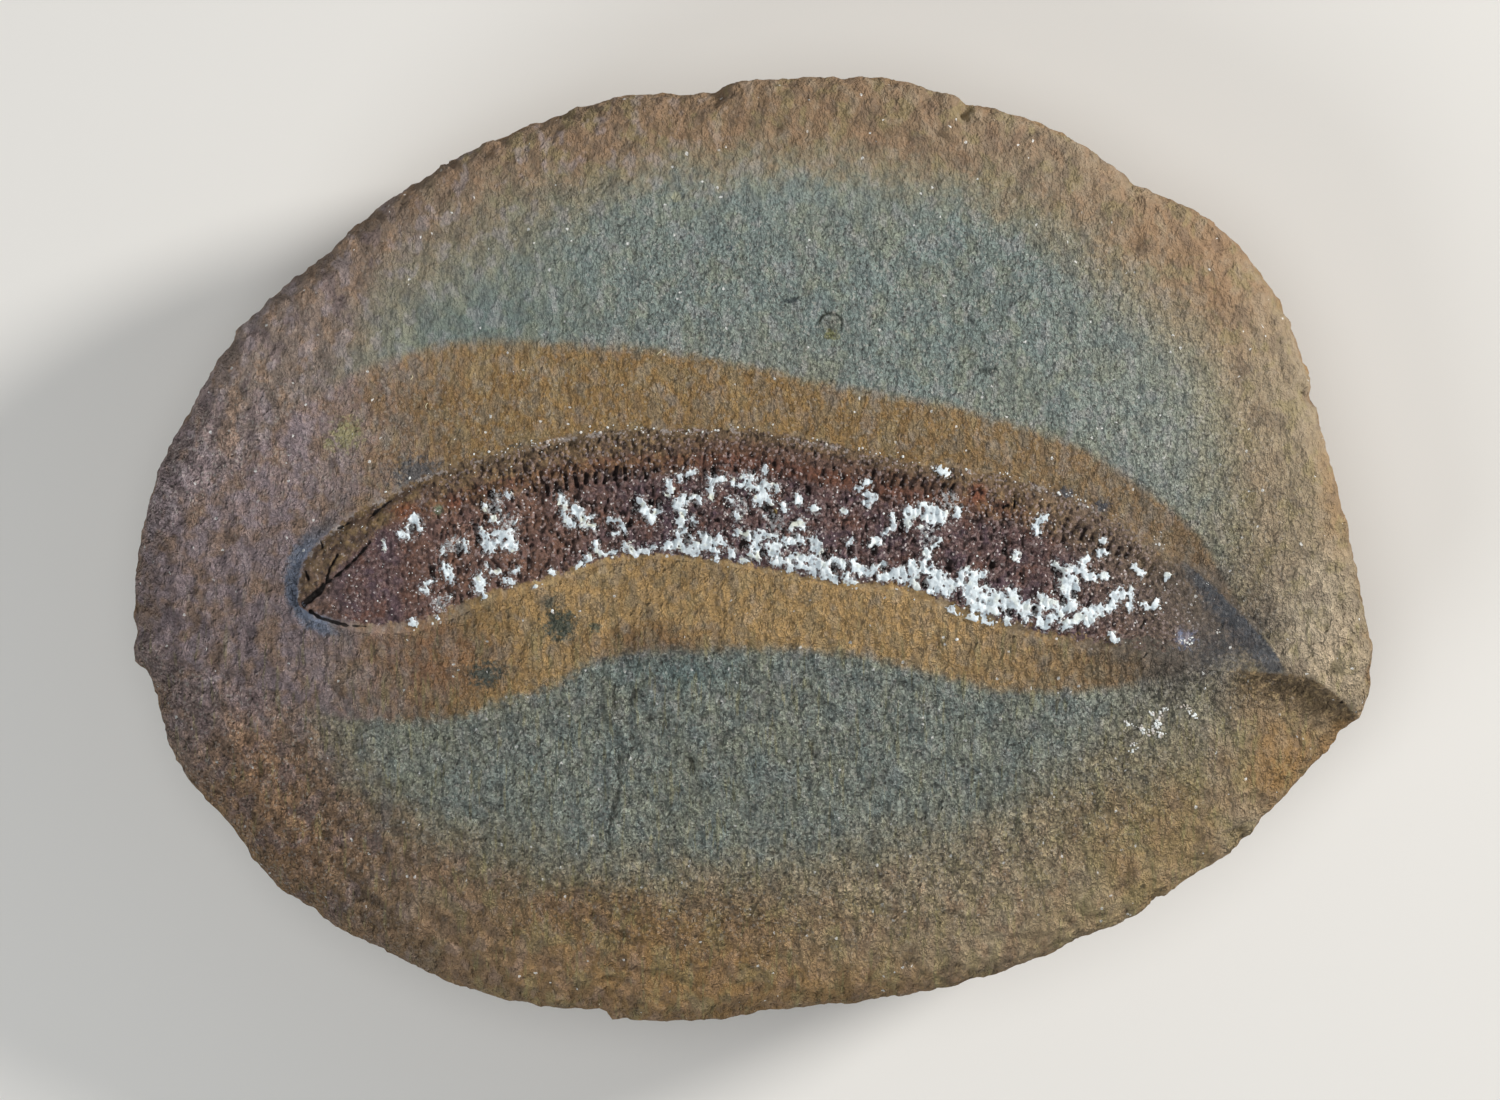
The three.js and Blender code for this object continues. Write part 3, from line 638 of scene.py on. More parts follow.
def drop_onto(piece, target):
    """Lays the piece on the surface below or above it."""
    apply(
        piece, "SHRINKWRAP", target=target, wrap_method="PROJECT", use_project_z=True,
        use_negative_direction=True, use_positive_direction=True,
    )


def crust_strokes():
    """Start, end and half width of each stroke, in millimetres."""
    for x1, y1, x2, y2, half_width in CRUST:
        yield on_board(x1, y1), on_board(x2, y2), half_width * BOARD_SQUARE


def crust_amount(points):
    """How deep inside a stroke of crust each point is, from 1 in its middle to below 0 outside."""
    amount = np.full(len(points), -3.0)
    for start, end, half_width in crust_strokes():
        low, high = np.minimum(start, end) - 1, np.maximum(start, end) + 1
        near = np.flatnonzero(np.all((points[:, :2] > low) & (points[:, :2] < high), axis=1))
        reach = from_stroke(points[near], start, end) / (half_width + 0.09)
        amount[near] = np.maximum(amount[near], 1 - reach)
    return amount


def crumbling(points):
    """Where the crust thins to a speckled veil."""
    veil = np.zeros(len(points))
    for x, y, reach in VEILS:
        away = np.hypot(points[:, 0] - x, points[:, 1] - y)
        veil = np.maximum(veil, 1 - smooth_step(away, reach * 0.5, reach))
    return veil


def vertebra_slits(points, draw):
    """1 in the short cross slits between the vertebrae, and less where they close. No two are alike."""
    spine = through(VERTEBRAE, 70)
    slits = np.zeros(len(points))
    for place, along in zip(spine, np.gradient(spine, axis=0)):
        across = np.array([-along[1], along[0]]) / np.linalg.norm(along)
        across = across + np.array([draw.uniform(-0.1, 0.3), 0])
        gapes = max([depth for low, high, depth in OPEN_SLITS if low < place[0] < high] + [0.3])
        half = draw.uniform(0.22, 0.36) * across * (0.5 + 0.5 * gapes)
        middle = place + across * draw.uniform(-0.12, 0.12)
        reach = from_stroke(points, middle - half, middle + half)
        slit = draw.uniform(0.8, 1) * gapes * (1 - smooth_step(reach, 0.05, 0.15))
        slits = np.maximum(slits, slit)
    return slits


def open_cracks(points):
    """1 in the cracks of the jaws and the tail. They gape at the mouth and the chin."""
    cracks = np.min([from_line(points, crack) for crack in HEAD_CRACKS + TAIL_CRACKS], axis=0)
    mouth = from_line(points, HEAD_CRACKS[0][:3]) - 0.1 * smooth_step(-points[:, 0], 21.4, 22.2)
    chin = from_line(points, HEAD_CRACKS[3][:3]) - 0.04
    cracks = np.minimum(np.minimum(cracks, mouth), chin) + bumps(points, 0.3, 16) * 0.04
    return 1 - smooth_step(cracks, 0.0, 0.11)


def flank_holes(points, draw):
    """1 in the holes of the flank, which are pressed in and painted dark as shade."""
    holes = np.zeros(len(points))
    for place in PITS:
        reach = from_stroke(points, place, (place[0] + 0.02, place[1] + draw.uniform(0.05, 0.3)))
        holes = np.maximum(holes, 1 - smooth_step(reach, 0.06, draw.uniform(0.18, 0.3)))
    return holes


def make_body(stone):
    bpy.ops.mesh.primitive_grid_add(x_subdivisions=BODY_COLUMNS, y_subdivisions=BODY_ROWS, size=1)
    body = named("embolomere_fossil")
    along, across = along_and_across(body)
    ground = body_places(along, across, LIP)
    move_to(body, np.column_stack([ground, np.full(len(along), SHEET_START)]))
    drop_onto(body, stone)
    points = places(body)
    back_edge, belly_edge = body_places(along, across * 0 + 1, 0), body_places(along, across * 0, 0)
    width = np.linalg.norm(back_edge - belly_edge, axis=1)
    span = width + 2 * LIP
    from_back, from_belly = (1 - across) * span - LIP, across * span - LIP
    tips = np.minimum(along, 1 - along) * BODY_LONG
    edge = np.minimum(np.minimum(from_back, from_belly), tips - LIP)
    fade = 1 - smooth_step(points[:, 0], 15, 23)  # the tail is worn flush with the stone
    flank = smooth_step(edge, 0.1, 0.6) * (0.25 + 0.75 * fade)
    # an even crown, with the edge let a little way into the stone
    throat = 1 - smooth_step(points[:, 0], -12, -7)
    crown = np.sin(np.pi * np.clip(across, 0, 1)) * np.clip(width / 5, 0, 1) * smooth_step(edge, -0.3, 0.6)
    crown *= smooth_step(from_belly, -0.6, 0.2 + 1.4 * throat)
    push(body, crown * fade, 0.3)
    push(body, smooth_step(edge, -LIP, -0.1), 0.1)
    push(body, np.ones(len(points)), -0.085)
    # the granular band along the back, and the fine groove that sets it off from the stone
    band = smooth_step(from_back, 0.25, 0.6) * (1 - smooth_step(from_back, 1.7, 2.3)) * flank
    push(body, band, 0.07)
    groove = np.exp(-(((from_back - 0.3) / 0.11) ** 2)) * smooth_step(bumps(points, 2.2, 1), -0.5, 0.4)
    push(body, groove * smooth_step(along, 0.2, 0.3) * (1 - smooth_step(along, 0.7, 0.8)), -0.09)
    # worn hollows and grain
    hollows = smooth_step(bumps(points, (0.2, 0.36, 1), 2), 0.05, 0.7) * flank
    behind_head = smooth_step(points[:, 0], -19, -12) * (1 - smooth_step(points[:, 0], 19, 25))
    push(body, hollows * (0.35 + 0.65 * behind_head) * (1 - 0.3 * band), -0.17)
    push(body, (0.5 + 0.5 * bumps(points, 0.21, 3)) * flank, 0.09)
    push(body, (0.5 + 0.5 * bumps(points, 0.9, 4)) * flank, 0.16)
    draw = random.Random(4)
    slits = vertebra_slits(points, draw)
    push(body, slits * smooth_step(edge, 0.1, 0.6), -0.3)
    cracks = open_cracks(points)
    push(body, cracks * smooth_step(edge, 0, 0.7), -0.3)
    holes = flank_holes(points, draw)
    push(body, holes, -0.28)
    note(body, "from_back", from_back)
    note(body, "from_belly", from_belly)
    note(body, "edge", edge)
    note(body, "hollow", np.clip(hollows * 0.6 + slits + holes + cracks, 0, 1))
    note(body, "crack", cracks)
    note_snout(body, points)
    note(body, "crust_near", np.maximum(crust_amount(points), crumbling(points) * 2.2 - 1.6))
    close_below(body, along, across)
    smooth_shaded(body)
    return body


def close_below(body, along, across):
    """Carries the sheet's edge down into the pocket and caps it."""
    rim = (along < 1e-4) | (along > 1 - 1e-4) | (across < 1e-4) | (across > 1 - 1e-4)
    edit(body, "vertices", rim)
    bpy.ops.mesh.extrude_region_move(TRANSFORM_OT_translate={"value": (0, 0, -BODY_THICK * MM)})
    bpy.ops.mesh.edge_face_add()
    bpy.ops.mesh.select_all(action="SELECT")
    bpy.ops.mesh.remove_doubles(threshold=1e-7)
    leave_edit(facing_out=True)


def hollow_below(stone):
    """Presses the stone's face down below the animal, so that it shows in none of the cracks."""
    points = places(stone)
    back = np.interp(points[:, 0], *BACK_LINE[BACK_LINE[:, 0].argsort()].T)
    belly = np.interp(points[:, 0], *BELLY_LINE[BELLY_LINE[:, 0].argsort()].T)
    inside = np.minimum(back - points[:, 1], points[:, 1] - belly)
    inside = np.minimum(inside, points[:, 0] - BACK_LINE[:, 0].min())
    pressed = smooth_step(inside, 0, 0.3) * (1 - smooth_step(points[:, 0], 16, 19))
    push(stone, pressed * (points[:, 2] > FACE_ABOVE), -0.5)


# ---- Crust, grains and lint ----
def make_crust(body):
    """White crust in thin crumbly patches along the belly and over the flank."""
    bpy.ops.mesh.primitive_grid_add(x_subdivisions=CRUST_COLUMNS, y_subdivisions=CRUST_ROWS, size=1)
    crust = named("kaolinite_patches")
    along, across = along_and_across(crust)
    ground = body_places(along, across, 0.1)
    points = np.column_stack([ground, np.full(len(along), SHEET_START)])
    move_to(crust, points)
    amount = crust_amount(points)
    near = np.flatnonzero(amount > -2)
    rough = np.full(len(points), -1.0)
    rough[near] = bumps(points[near], 0.3, 11) * 0.4 + bumps(points[near], 0.12, 12) * 0.5
    amount -= 0.2 * smooth_step(-points[:, 0], -6, 0)
    amount = np.minimum(amount, 0.9) + rough
    amount -= 0.9 * crumbling(points)
    for place in PITS:
        amount -= 1.6 * (1 - smooth_step(np.hypot(*(points[:, :2] - place).T), 0.1, 0.26))
    keep = amount > 0
    edit(crust, "vertices", ~keep)
    bpy.ops.mesh.delete(type="VERT")
    leave_edit()
    drop_onto(crust, body)
    points = places(crust)
    lumps = 0.5 + 0.3 * bumps(points, 0.24, 13) + 0.3 * bumps(points, 0.1, 14)
    note(crust, "depth", amount[keep])
    push(crust, np.sqrt(np.clip(amount[keep] * 2.2, 0, 1)) * (0.75 + 0.25 * lumps), 0.075)
    apply(crust, "SMOOTH", factor=0.4, iterations=3)
    push(crust, np.ones(len(points)), 0.035)
    apply(crust, "SOLIDIFY", thickness=CRUST_THICK * MM, offset=-1)
    smooth_shaded(crust)
    return crust


def surface_below(tree, x, y):
    return tree.ray_cast(Vector((x, y, PROBE_START)) * MM, Vector((0, 0, -1)))[0]


def bedded(places_and_sizes, surface, name):
    """Loose crumbs, each a copy of one, bedded into the surface below."""
    tree = BVHTree.FromObject(surface, bpy.context.evaluated_depsgraph_get())
    bpy.ops.mesh.primitive_ico_sphere_add(subdivisions=1, radius=1)
    first = named(name)
    draw = random.Random(7)
    crumbs = []
    for x, y, size in places_and_sizes:
        hit = surface_below(tree, x, y)
        if hit is None:
            continue
        crumb = first.copy()
        crumb.data = first.data.copy()
        bpy.context.scene.collection.objects.link(crumb)
        crumb.location = hit + Vector((0, 0, size * 0.1 * MM))
        crumb.rotation_euler = [draw.uniform(0, 6.3) for _ in range(3)]
        crumb.scale = [size * draw.uniform(0.7, 1.3) * MM for _ in range(3)]
        crumbs.append(crumb)
    bpy.data.objects.remove(first)
    bpy.ops.object.select_all(action="DESELECT")
    for crumb in crumbs:
        crumb.select_set(True)
    bpy.context.view_layer.objects.active = crumbs[0]
    bpy.ops.object.join()
    joined = named(name)
    bpy.ops.object.transform_apply(location=True, rotation=True, scale=True)
    return joined


def crust_crumbs():
    """Places and sizes of the loose crumbs on the animal."""
    draw = random.Random(21)
    crumbs = []
    line = through(BACK_SPECKLE, 420)
    for place in line:
        if draw.random() < 0.25 + 0.6 * max(bumps([(place[0], 3, 0)], 1.7, 5)[0], 0):
            size = 0.03 + 0.055 * draw.random() ** 2
            crumbs.append((place[0] + draw.gauss(0, 0.12), place[1] + draw.gauss(0, 0.13), size))
    for start, end, half_width in crust_strokes():
        for _ in range(2):
            turn = draw.uniform(0, math.tau)
            reach = half_width + 0.05 + abs(draw.gauss(0, 0.22))
            x, y = start + (end - start) * draw.random()
            x, y = x + reach * math.cos(turn), y + reach * math.sin(turn)
            crumbs.append((x, y, draw.uniform(0.025, 0.07)))
    for _ in range(420):
        along, across = draw.uniform(0.03, 0.9), draw.uniform(0.08, 0.95)
        place = body_places(np.array([along]), np.array([across]), 0)[0]
        crumbs.append((place[0], place[1], 0.02 + 0.035 * draw.random() ** 3))
    return crumbs


def stone_crumbs():
    """The little bloom of crust on the stone below the tail, and grains scattered on the face."""
    draw = random.Random(33)
    crumbs = []
    for x1, y1, x2, y2, wide in BLOOM:
        start, end = on_board(x1, y1), on_board(x2, y2)
        for _ in range(int(6 + 0.9 * math.hypot(x2 - x1, y2 - y1))):
            x, y = start + (end - start) * draw.random()
            reach = wide * BOARD_SQUARE
            crumbs.append((x + draw.gauss(0, reach), y + draw.gauss(0, reach), draw.uniform(0.03, 0.085)))
    crumbs += [(10.35, -4.55, 0.1), (-4.55, 9.95, 0.07), (-10.25, -3.1, 0.09), (-10.2, -3.2, 0.05)]
    for _ in range(26):
        crumbs.append((draw.uniform(-26, 27), draw.uniform(-17, 17), 0.012 + 0.03 * draw.random() ** 3))
    return crumbs


def make_fibre(name, bends, surface):
    """A short bent thread of lint that lies on the stone."""
    tree = BVHTree.FromObject(surface, bpy.context.evaluated_depsgraph_get())
    route = [surface_below(tree, x, y) + Vector((0, 0, 0.02 * MM)) for x, y in through(bends, 7)]
    heading = (route[-1] - route[0]).to_track_quat("Z", "Y").to_euler()
    bpy.ops.mesh.primitive_circle_add(
        vertices=6, radius=0.016 * MM, fill_type="NGON", location=route[0], rotation=heading
    )
    fibre = named(name)
    bpy.ops.object.transform_apply(location=True, rotation=True, scale=True)
    bpy.ops.object.mode_set(mode="EDIT")
    for here, there in zip(route, route[1:]):
        bpy.ops.mesh.extrude_region_move(TRANSFORM_OT_translate={"value": there - here})
    leave_edit(facing_out=True)
    smooth_shaded(fibre)
    return fibre


# ---- Finishes ----
class Number:
    """A socket that carries a number, so that shader maths reads as arithmetic."""

    def __init__(self, finish, socket):
        self.finish = finish
        self.socket = socket

    def also(self, output):
        """Another output of the same node."""
        return Number(self.finish, self.socket.node.outputs[output])

    def maths(self, operation, *values, reverse=False):
        values = [*values, self] if reverse else [self, *values]
        return self.finish.node("Math", {"operation": operation}, dict(enumerate(values)))

    def __add__(self, other):
        return self.maths("ADD", other)

    def __sub__(self, other):
        return self.maths("SUBTRACT", other)

    def __rsub__(self, other):
        return self.maths("SUBTRACT", other, reverse=True)

    def __mul__(self, other):
        return self.maths("MULTIPLY", other)

    def __truediv__(self, other):
        return self.maths("DIVIDE", other)

    __radd__ = __add__
    __rmul__ = __mul__

    def least(self, other):
        return self.maths("MINIMUM", other)

    def most(self, other):
        return self.maths("MAXIMUM", other)

    def step(self, low, high, most=1.0):
        """0 where this is low, the most where it is high, and soft between. Low may be above high."""
        sockets = {"Value": self, "From Min": low, "From Max": high, "To Max": most}
        return self.finish.node("MapRange", {"interpolation_type": "SMOOTHSTEP"}, sockets)


def tint(red, green, blue):
    """A colour from its three screen values, 0 to 255, for this studio's light."""
    shares = [value / 255 for value in (red, green, blue)]
    linear = [share / 12.92 if share < 0.04045 else ((share + 0.055) / 1.055) ** 2.4 for share in shares]
    return (*[value / STUDIO_LIGHT for value in linear], 1)


class Finish:
    """A procedural material. Its places are in millimetres."""

    def __init__(self, name):
        self.dimensions = "2D"  # patterns are laid on from above unless this is set to 3D
        self.material = bpy.data.materials.new(name)
        self.material.use_nodes = True
        self.tree = self.material.node_tree
        self.shader = self.tree.nodes["Principled BSDF"]
        place = self.node("TexCoord", output="Object")
        scaled = {"Vector": place, "Scale": 1 / MM}
        self.place = self.node("VectorMath", {"operation": "SCALE"}, scaled)
        self.x = self.node("SeparateXYZ", sockets={0: self.place})
        self.y, self.z = self.x.also("Y"), self.x.also("Z")

    def node(self, kind, settings=None, sockets=None, output=0):
        made = self.tree.nodes.new("ShaderNode" + kind)
        for setting, value in (settings or {}).items():
            if setting == "bends":
                bend_curve(made.mapping, value)
            else:
                setattr(made, setting, value)
        for socket, value in (sockets or {}).items():
            self.feed(made.inputs[socket], value)
        return Number(self, made.outputs[output])

    def vectors(self, operation, *values, output=0):
        return self.node("VectorMath", {"operation": operation}, dict(enumerate(values)), output)

    def feed(self, socket, value):
        if isinstance(value, Number):
            self.tree.links.new(value.socket, socket)
        else:
            socket.default_value = value

    def blend(self, share, first, second, way="MIX"):
        """The first colour where share is 0, the second where it is 1."""
        settings = {"data_type": "RGBA", "blend_type": way}
        return self.node("Mix", settings, {0: share, 6: first, 7: second}, output=2)

    def cloud(self, size, detail=2, rough=0.5, seed=0, stretch=(1, 1, 1), turn=0.0):
        """Soft random values about 0.5, alike over roughly one size. Turn leans a stretched pattern."""
        squeezed = [1 / (size * share) for share in stretch]
        shift = [seed * 7.31, seed * 3.17, seed * 5.77]
        start = self.place
        if turn:
            start = self.node("VectorRotate", sockets={"Vector": self.place, "Angle": -turn})
        place = self.vectors("MULTIPLY_ADD", start, squeezed, shift)
        sockets = {"Vector": place, "Scale": 1.0, "Detail": detail, "Roughness": rough}
        return self.node("TexNoise", {"noise_dimensions": self.dimensions}, sockets)

    def grit(self, size, seed=0, stretch=(1, 1, 1)):
        """Grains of roughly one size: three chances for each, X, Y and Z, and how far its middle is."""
        squeezed = [1 / (size * share) for share in stretch]
        place = self.vectors("MULTIPLY_ADD", self.place, squeezed, [seed * 3.7] * 3)
        settings = {"feature": "F1", "voronoi_dimensions": self.dimensions}
        cell = self.node("TexVoronoi", settings, {"Vector": place, "Scale": 1.0})
        return self.node("SeparateXYZ", sockets={0: cell.also("Color")}), cell

    def border(self, bends):
        """The height, at each x, of a line across the stone's face."""
        across = self.x / CURVE_WIDE + 0.5
        curve = [on_board(x, y) / (CURVE_WIDE, CURVE_TALL) + 0.5 for x, y in bends]
        return (self.node("FloatCurve", {"bends": curve}, {"Value": across}) - 0.5) * CURVE_TALL

    def spot(self, x, y, reach, wide=1.0, fray=0.0, core=0.3, most=1.0):
        """The most in the core of a round spot, 0 at its reach. The fray makes its edge uneven."""
        place = self.vectors("MULTIPLY", self.place, (1 / (reach * wide), 1 / reach, 0))
        away = self.vectors("DISTANCE", place, (x / (reach * wide), y / reach, 0), output="Value")
        return (away + fray).step(1, core, most)

    def read(self, name):
        return self.node("Attribute", {"attribute_name": name}, output="Fac")

    def end(self, colour, roughness, height, depth):
        self.feed(self.shader.inputs["Base Color"], colour)
        self.feed(self.shader.inputs["Roughness"], roughness)
        sockets = {"Height": height, "Distance": depth * MM, "Strength": 1.0}
        self.feed(self.shader.inputs["Normal"], self.node("Bump", sockets=sockets))
        self.shader.inputs["Specular IOR Level"].default_value = 0.3
        return self.material


def bend_curve(mapping, bends):
    curve = mapping.curves[0]
    while len(curve.points) < len(bends):
        curve.points.new(0.5, 0.5)
    for point, place in zip(curve.points, bends):
        point.location = place
    mapping.update()


def stone_colour(finish):
    """The split face's colour with its stains and marks, and how coarse its grain is, 0 to 1."""
    wander = finish.cloud(2.4, 3, 0.6, seed=1) - 0.5
    fray = finish.cloud(0.5, 3, 0.65, seed=2) - 0.5
    rough = finish.cloud(0.3, 3, 0.7, seed=9) - 0.5
    drift = wander * 1.8 + fray * 1.6
    crescents = crescent_share(finish, drift)
    halo = halo_share(finish, wander, fray)
    colour = finish.blend(crescents, rim_colour(finish), crescent_colour(finish))
    colour = finish.blend(crescents * (1 - crescents) * 1.4, colour, tint(134, 129, 103))
    colour = finish.blend(1 - crescents * 0.85, colour, washed(finish, colour, BLOTCHES, wander))
    colour = finish.blend(halo, colour, halo_colour(finish, drift))
    colour = washed(finish, colour, STRIPS, wander)
    colour = clouded(finish, colour, crescents, halo)
    colour = tail_marked(finish, colour, wander, rough)
    colour = stained(finish, colour, rough)
    colour = snout_marked(finish, colour, rough, fray)
    coarse = 1 - (halo * (finish.y.step(5, -2) * 0.25 + 0.4)).most(worn_rim(finish) * 0.85)
    return colour, coarse


def rim_colour(finish):
    """Greyish pink on the left and buff on the right, browner towards the top and the bottom; partly the
    stone's own colour and partly painted light, the right and the top toned down against the key lamp and
    the bottom toned up against its shade.
    """
    # Partly painted shade: the right's buff is toned down against the key lamp.
    colour = finish.blend(finish.x.step(-30, 30), tint(125, 111, 109), tint(141, 127, 105))
    # Painted shade as well as brown: the top is toned down against the key lamp.
    colour = finish.blend(finish.y.step(2, 22) * finish.x.step(29, 2) * 0.85, colour, tint(119, 100, 78))
    # Painted light as well as brown: the bottom is toned up against its shade.
    return finish.blend(finish.y.step(2, -20) * finish.x.step(28, 8) * 0.8, colour, tint(123, 99, 64))


def crescent_share(finish, drift):
    """1 on the grey-green crescents above and below the animal."""
    soft = finish.x.step(10, 24) * 1.5 + finish.x.step(-4, -15) * finish.y.step(2, 6) + 1
    above = ((finish.border(CRESCENT_TOP) - finish.y + drift * 1.3) / soft).step(-1.9, 1.9)
    below = ((finish.y - finish.border(CRESCENT_BOTTOM) + drift * 1.3) / soft).step(-2.6, 2.2)
    share = above * below * (finish.x + drift).step(-24.5, -18) * (finish.x + drift * 1.2).step(26.8, 21.5)
    return share * (1 - finish.spot(*on_board(1295, 640), 6.5, 0.8, drift * 0.15, core=0.1))


def crescent_colour(finish):
    green = finish.blend(finish.y.step(-4, 6), tint(125, 132, 124), tint(116, 127, 122))
    green = finish.blend(finish.cloud(4.5, 2, seed=4).step(0.45, 0.65) * 0.4, green, tint(123, 124, 108))
    green = finish.blend(finish.x.step(12, 24) * 0.6, green, tint(140, 141, 129))
    return finish.blend(finish.x.step(-6, -16) * finish.y.step(4, 10) * 0.7, green, tint(108, 116, 107))


def halo_share(finish, wander, fray):
    """1 on the ochre halo about the animal."""
    edge = (fray * 0.6 + wander * 0.35) * (finish.x.step(-3, -10) * finish.y.step(2, -2) + 1)
    top = finish.border(HALO_TOP) - finish.y + edge
    bottom = finish.y - finish.border(HALO_BOTTOM) + edge
    return (top.least(bottom) - finish.x.step(20, 28) * 0.4).step(-0.4, 0.45)


def halo_colour(finish, drift):
    ochre = finish.blend((finish.x + drift).step(-24, -13), tint(134, 120, 122), tint(128, 102, 66))
    browner = finish.cloud(1.3, 2, 0.65, seed=5).step(0.42, 0.66) * 0.55
    ochre = finish.blend(browner, ochre, tint(124, 98, 66))
    streaks = finish.cloud(0.26, 2, 0.6, seed=6, stretch=(1, 4.5, 1)).step(0.42, 0.68)
    ochre = finish.blend(streaks * finish.x.step(-24, -14) * 0.45, ochre, tint(156, 130, 86))
    below = finish.y.step(3, -3) * finish.x.step(-17, -9) * finish.x.step(21, 11)
    ochre = finish.blend(below * 0.8, ochre, tint(180, 148, 101))
    return finish.blend(finish.x.step(5, 22) * 0.6, ochre, tint(121, 103, 84))


def clouded(finish, colour, crescents, halo):
    """Small clouds of other hues, and thin olive streaks down the face."""
    tall = (1, 1.3, 1)
    hues = finish.cloud(1.3, 2, 0.6, seed=7, stretch=tall)
    paler = finish.cloud(1.0, 2, 0.6, seed=8, stretch=tall)
    olive = finish.blend(finish.x.step(-14, -20), tint(132, 122, 86), tint(122, 107, 110))
    pink = finish.blend(finish.x.step(-10, 4), tint(150, 140, 144), tint(148, 134, 115))
    for share, on_rim, on_crescents in [
        (hues.step(0.52, 0.66) * finish.x.step(34, 14) * 0.45, tint(142, 115, 91), tint(128, 131, 112)),
        (hues.step(0.47, 0.35) * 0.45, olive, tint(106, 118, 117)),
        (paler.step(0.53, 0.68) * (finish.y.step(-14, -5) * 0.25 + 0.15), pink, tint(140, 139, 140)),
        (paler.step(0.46, 0.34) * 0.35, tint(88, 78, 71), tint(94, 97, 96)),
    ]:
        hue = finish.blend(crescents, on_rim, on_crescents)
        colour = finish.blend(share * (1 - halo * 0.5), colour, hue)
    runs = finish.cloud(0.34, 2, 0.6, seed=3, stretch=(1, 7, 1))
    return finish.blend(runs.step(0.6, 0.7) * finish.y.step(0, -6) * 0.4, colour, tint(134, 128, 88))


def tail_marked(finish, colour, wander, rough):
    """The grey stone about the tail, its dark streak, and the broken facet below the ridge, painted brown
    and pebbly: partly its own colour and partly painted shade, since the facet faces away from the key
    lamp.
    """
    grey = finish.spot(22.0, -4.1, 4.7, 1.3, wander * 0.9 + rough * 0.6, core=0.35)
    greys = finish.blend(rough.step(-0.1, 0.15), tint(74, 69, 64), tint(99, 92, 85))
    colour = finish.blend(grey * 0.9, colour, greys)
    under = finish.border(TAIL_STREAK) - finish.y + rough * 0.7
    wide = finish.x.step(20, 25) * 1.15 + 0.4
    dark = under.step(-0.1, 0.16) * (under / wide + rough * 0.8).step(1.5, 0.8)
    dark = dark * finish.x.step(21.2, 22.8) * finish.x.step(27.5, 26.9)
    dark = dark.most(finish.spot(24.1, -4.9, 2.1, 1.2, rough * 1.8, core=0) * 0.75)
    colour = finish.blend(dark * (rough * 0.6 + 0.86), colour, tint(66, 70, 76))
    # Painted shade, with its own brown pebbles, on the facet below the ridge.
    facet = finish.border(RIDGE) - finish.y + rough * 0.35
    facet = facet.step(-0.06, 0.14) * (facet + rough).step(2.6, 1.1) * finish.x.step(23.8, 25.6)
    pebbles = finish.blend(rough.step(-0.02, 0.16), tint(90, 73, 51), tint(146, 124, 90))
    return finish.blend(facet * 0.8, colour, pebbles)


def stained(finish, colour, rough):
    uneven = rough * 2.2
    for x, y, reach, wide, shade in STAINS:
        colour = finish.blend(finish.spot(x, y, reach, wide, uneven, most=0.9), colour, tint(*shade))
    return colour


def snout_marked(finish, colour, rough, fray):
    """The mark round the snout, and the small ring in the upper crescent."""
    mark = (finish.read("snout") + rough * 0.6 + fray * 0.6).step(0.66, 0.16)
    mark = mark * finish.x.step(-20.0, -22.2) * 0.9
    greys = finish.blend(finish.y.step(1.6, -0.2), tint(100, 91, 88), tint(103, 113, 130))
    colour = finish.blend(mark, colour, greys)
    ring = finish.spot(3.95, 11.5, 0.75, core=0.75) * (1 - finish.spot(3.95, 11.5, 0.6, core=0.7))
    return finish.blend(ring * (rough * 2 + finish.y.step(10.9, 11.7)), colour, tint(56, 60, 54))


def washed(finish, colour, washes, wander):
    """Soft-edged tints laid over one another."""
    fray = wander * 0.9
    for x, y, reach, wide, shade, strength in washes:
        reach = reach * BOARD_SQUARE * 1.25
        share = finish.spot(*on_board(x, y), reach, wide, fray, core=0, most=strength)
        colour = finish.blend(share, colour, tint(*shade))
    return colour


def worn_rim(finish):
    """1 on the smoother outer part of the face."""
    outward = finish.vectors("MULTIPLY", finish.place, (1 / HALF_LONG, 1 / HALF_WIDE, 0))
    outward = finish.vectors("LENGTH", outward, output="Value")
    upper_left = finish.y.step(4, 11) * finish.x.step(-4, -14) * 0.8
    outer = outward.step(0.72, 0.95) * finish.x.step(-24, -14)
    return outer.most(finish.y.step(15.5, 20) * 0.95).most(upper_left)


def speckled(finish, colour, coarse, grain):
    """Pebbles and silt grains, light and dark, where the stone is coarse, and a few bright mica points.
    The pebbly light and dark is painted shade and highlight on the hollows and tops of the bump pattern,
    made stronger towards the bottom, where the lamps show the relief less; the mica points are painted
    glints.
    """
    strong = finish.y.step(8, -6) * (finish.x.step(-18, -6) * 0.3 + 0.7)
    strong = strong.most(finish.x.step(-18, -26) * 0.8) * (coarse * 0.5 + 0.5)
    # Painted shade in the bump's hollows and painted highlight on its tops.
    pebbly = finish.cloud(0.44, 3, 0.68, seed=22, stretch=(1, 1.35, 1))
    shade = 1 - pebbly.step(0.45, 0.33) * (strong * 0.32 + 0.1)
    shade = shade + pebbly.step(0.53, 0.65) * (strong * 0.28 + 0.11)
    silt = grain * (strong * 0.35 + 0.6) - 0.28 - strong * 0.14
    colour = finish.blend(1.0, colour, shade * (silt * coarse + 1), "MULTIPLY")
    colour = finish.blend(grain.also("Y").step(0.88, 0.94) * coarse * 0.35, colour, tint(172, 168, 160))
    colour = finish.blend(grain.also("Y").step(0.12, 0.06) * coarse * 0.5, colour, tint(58, 53, 48))
    # Painted glints: a few bright mica points.
    colour = finish.blend(grain.also("Z").step(0.9975, 0.9985) * 0.8, colour, tint(215, 215, 212))
    return colour, pebbly


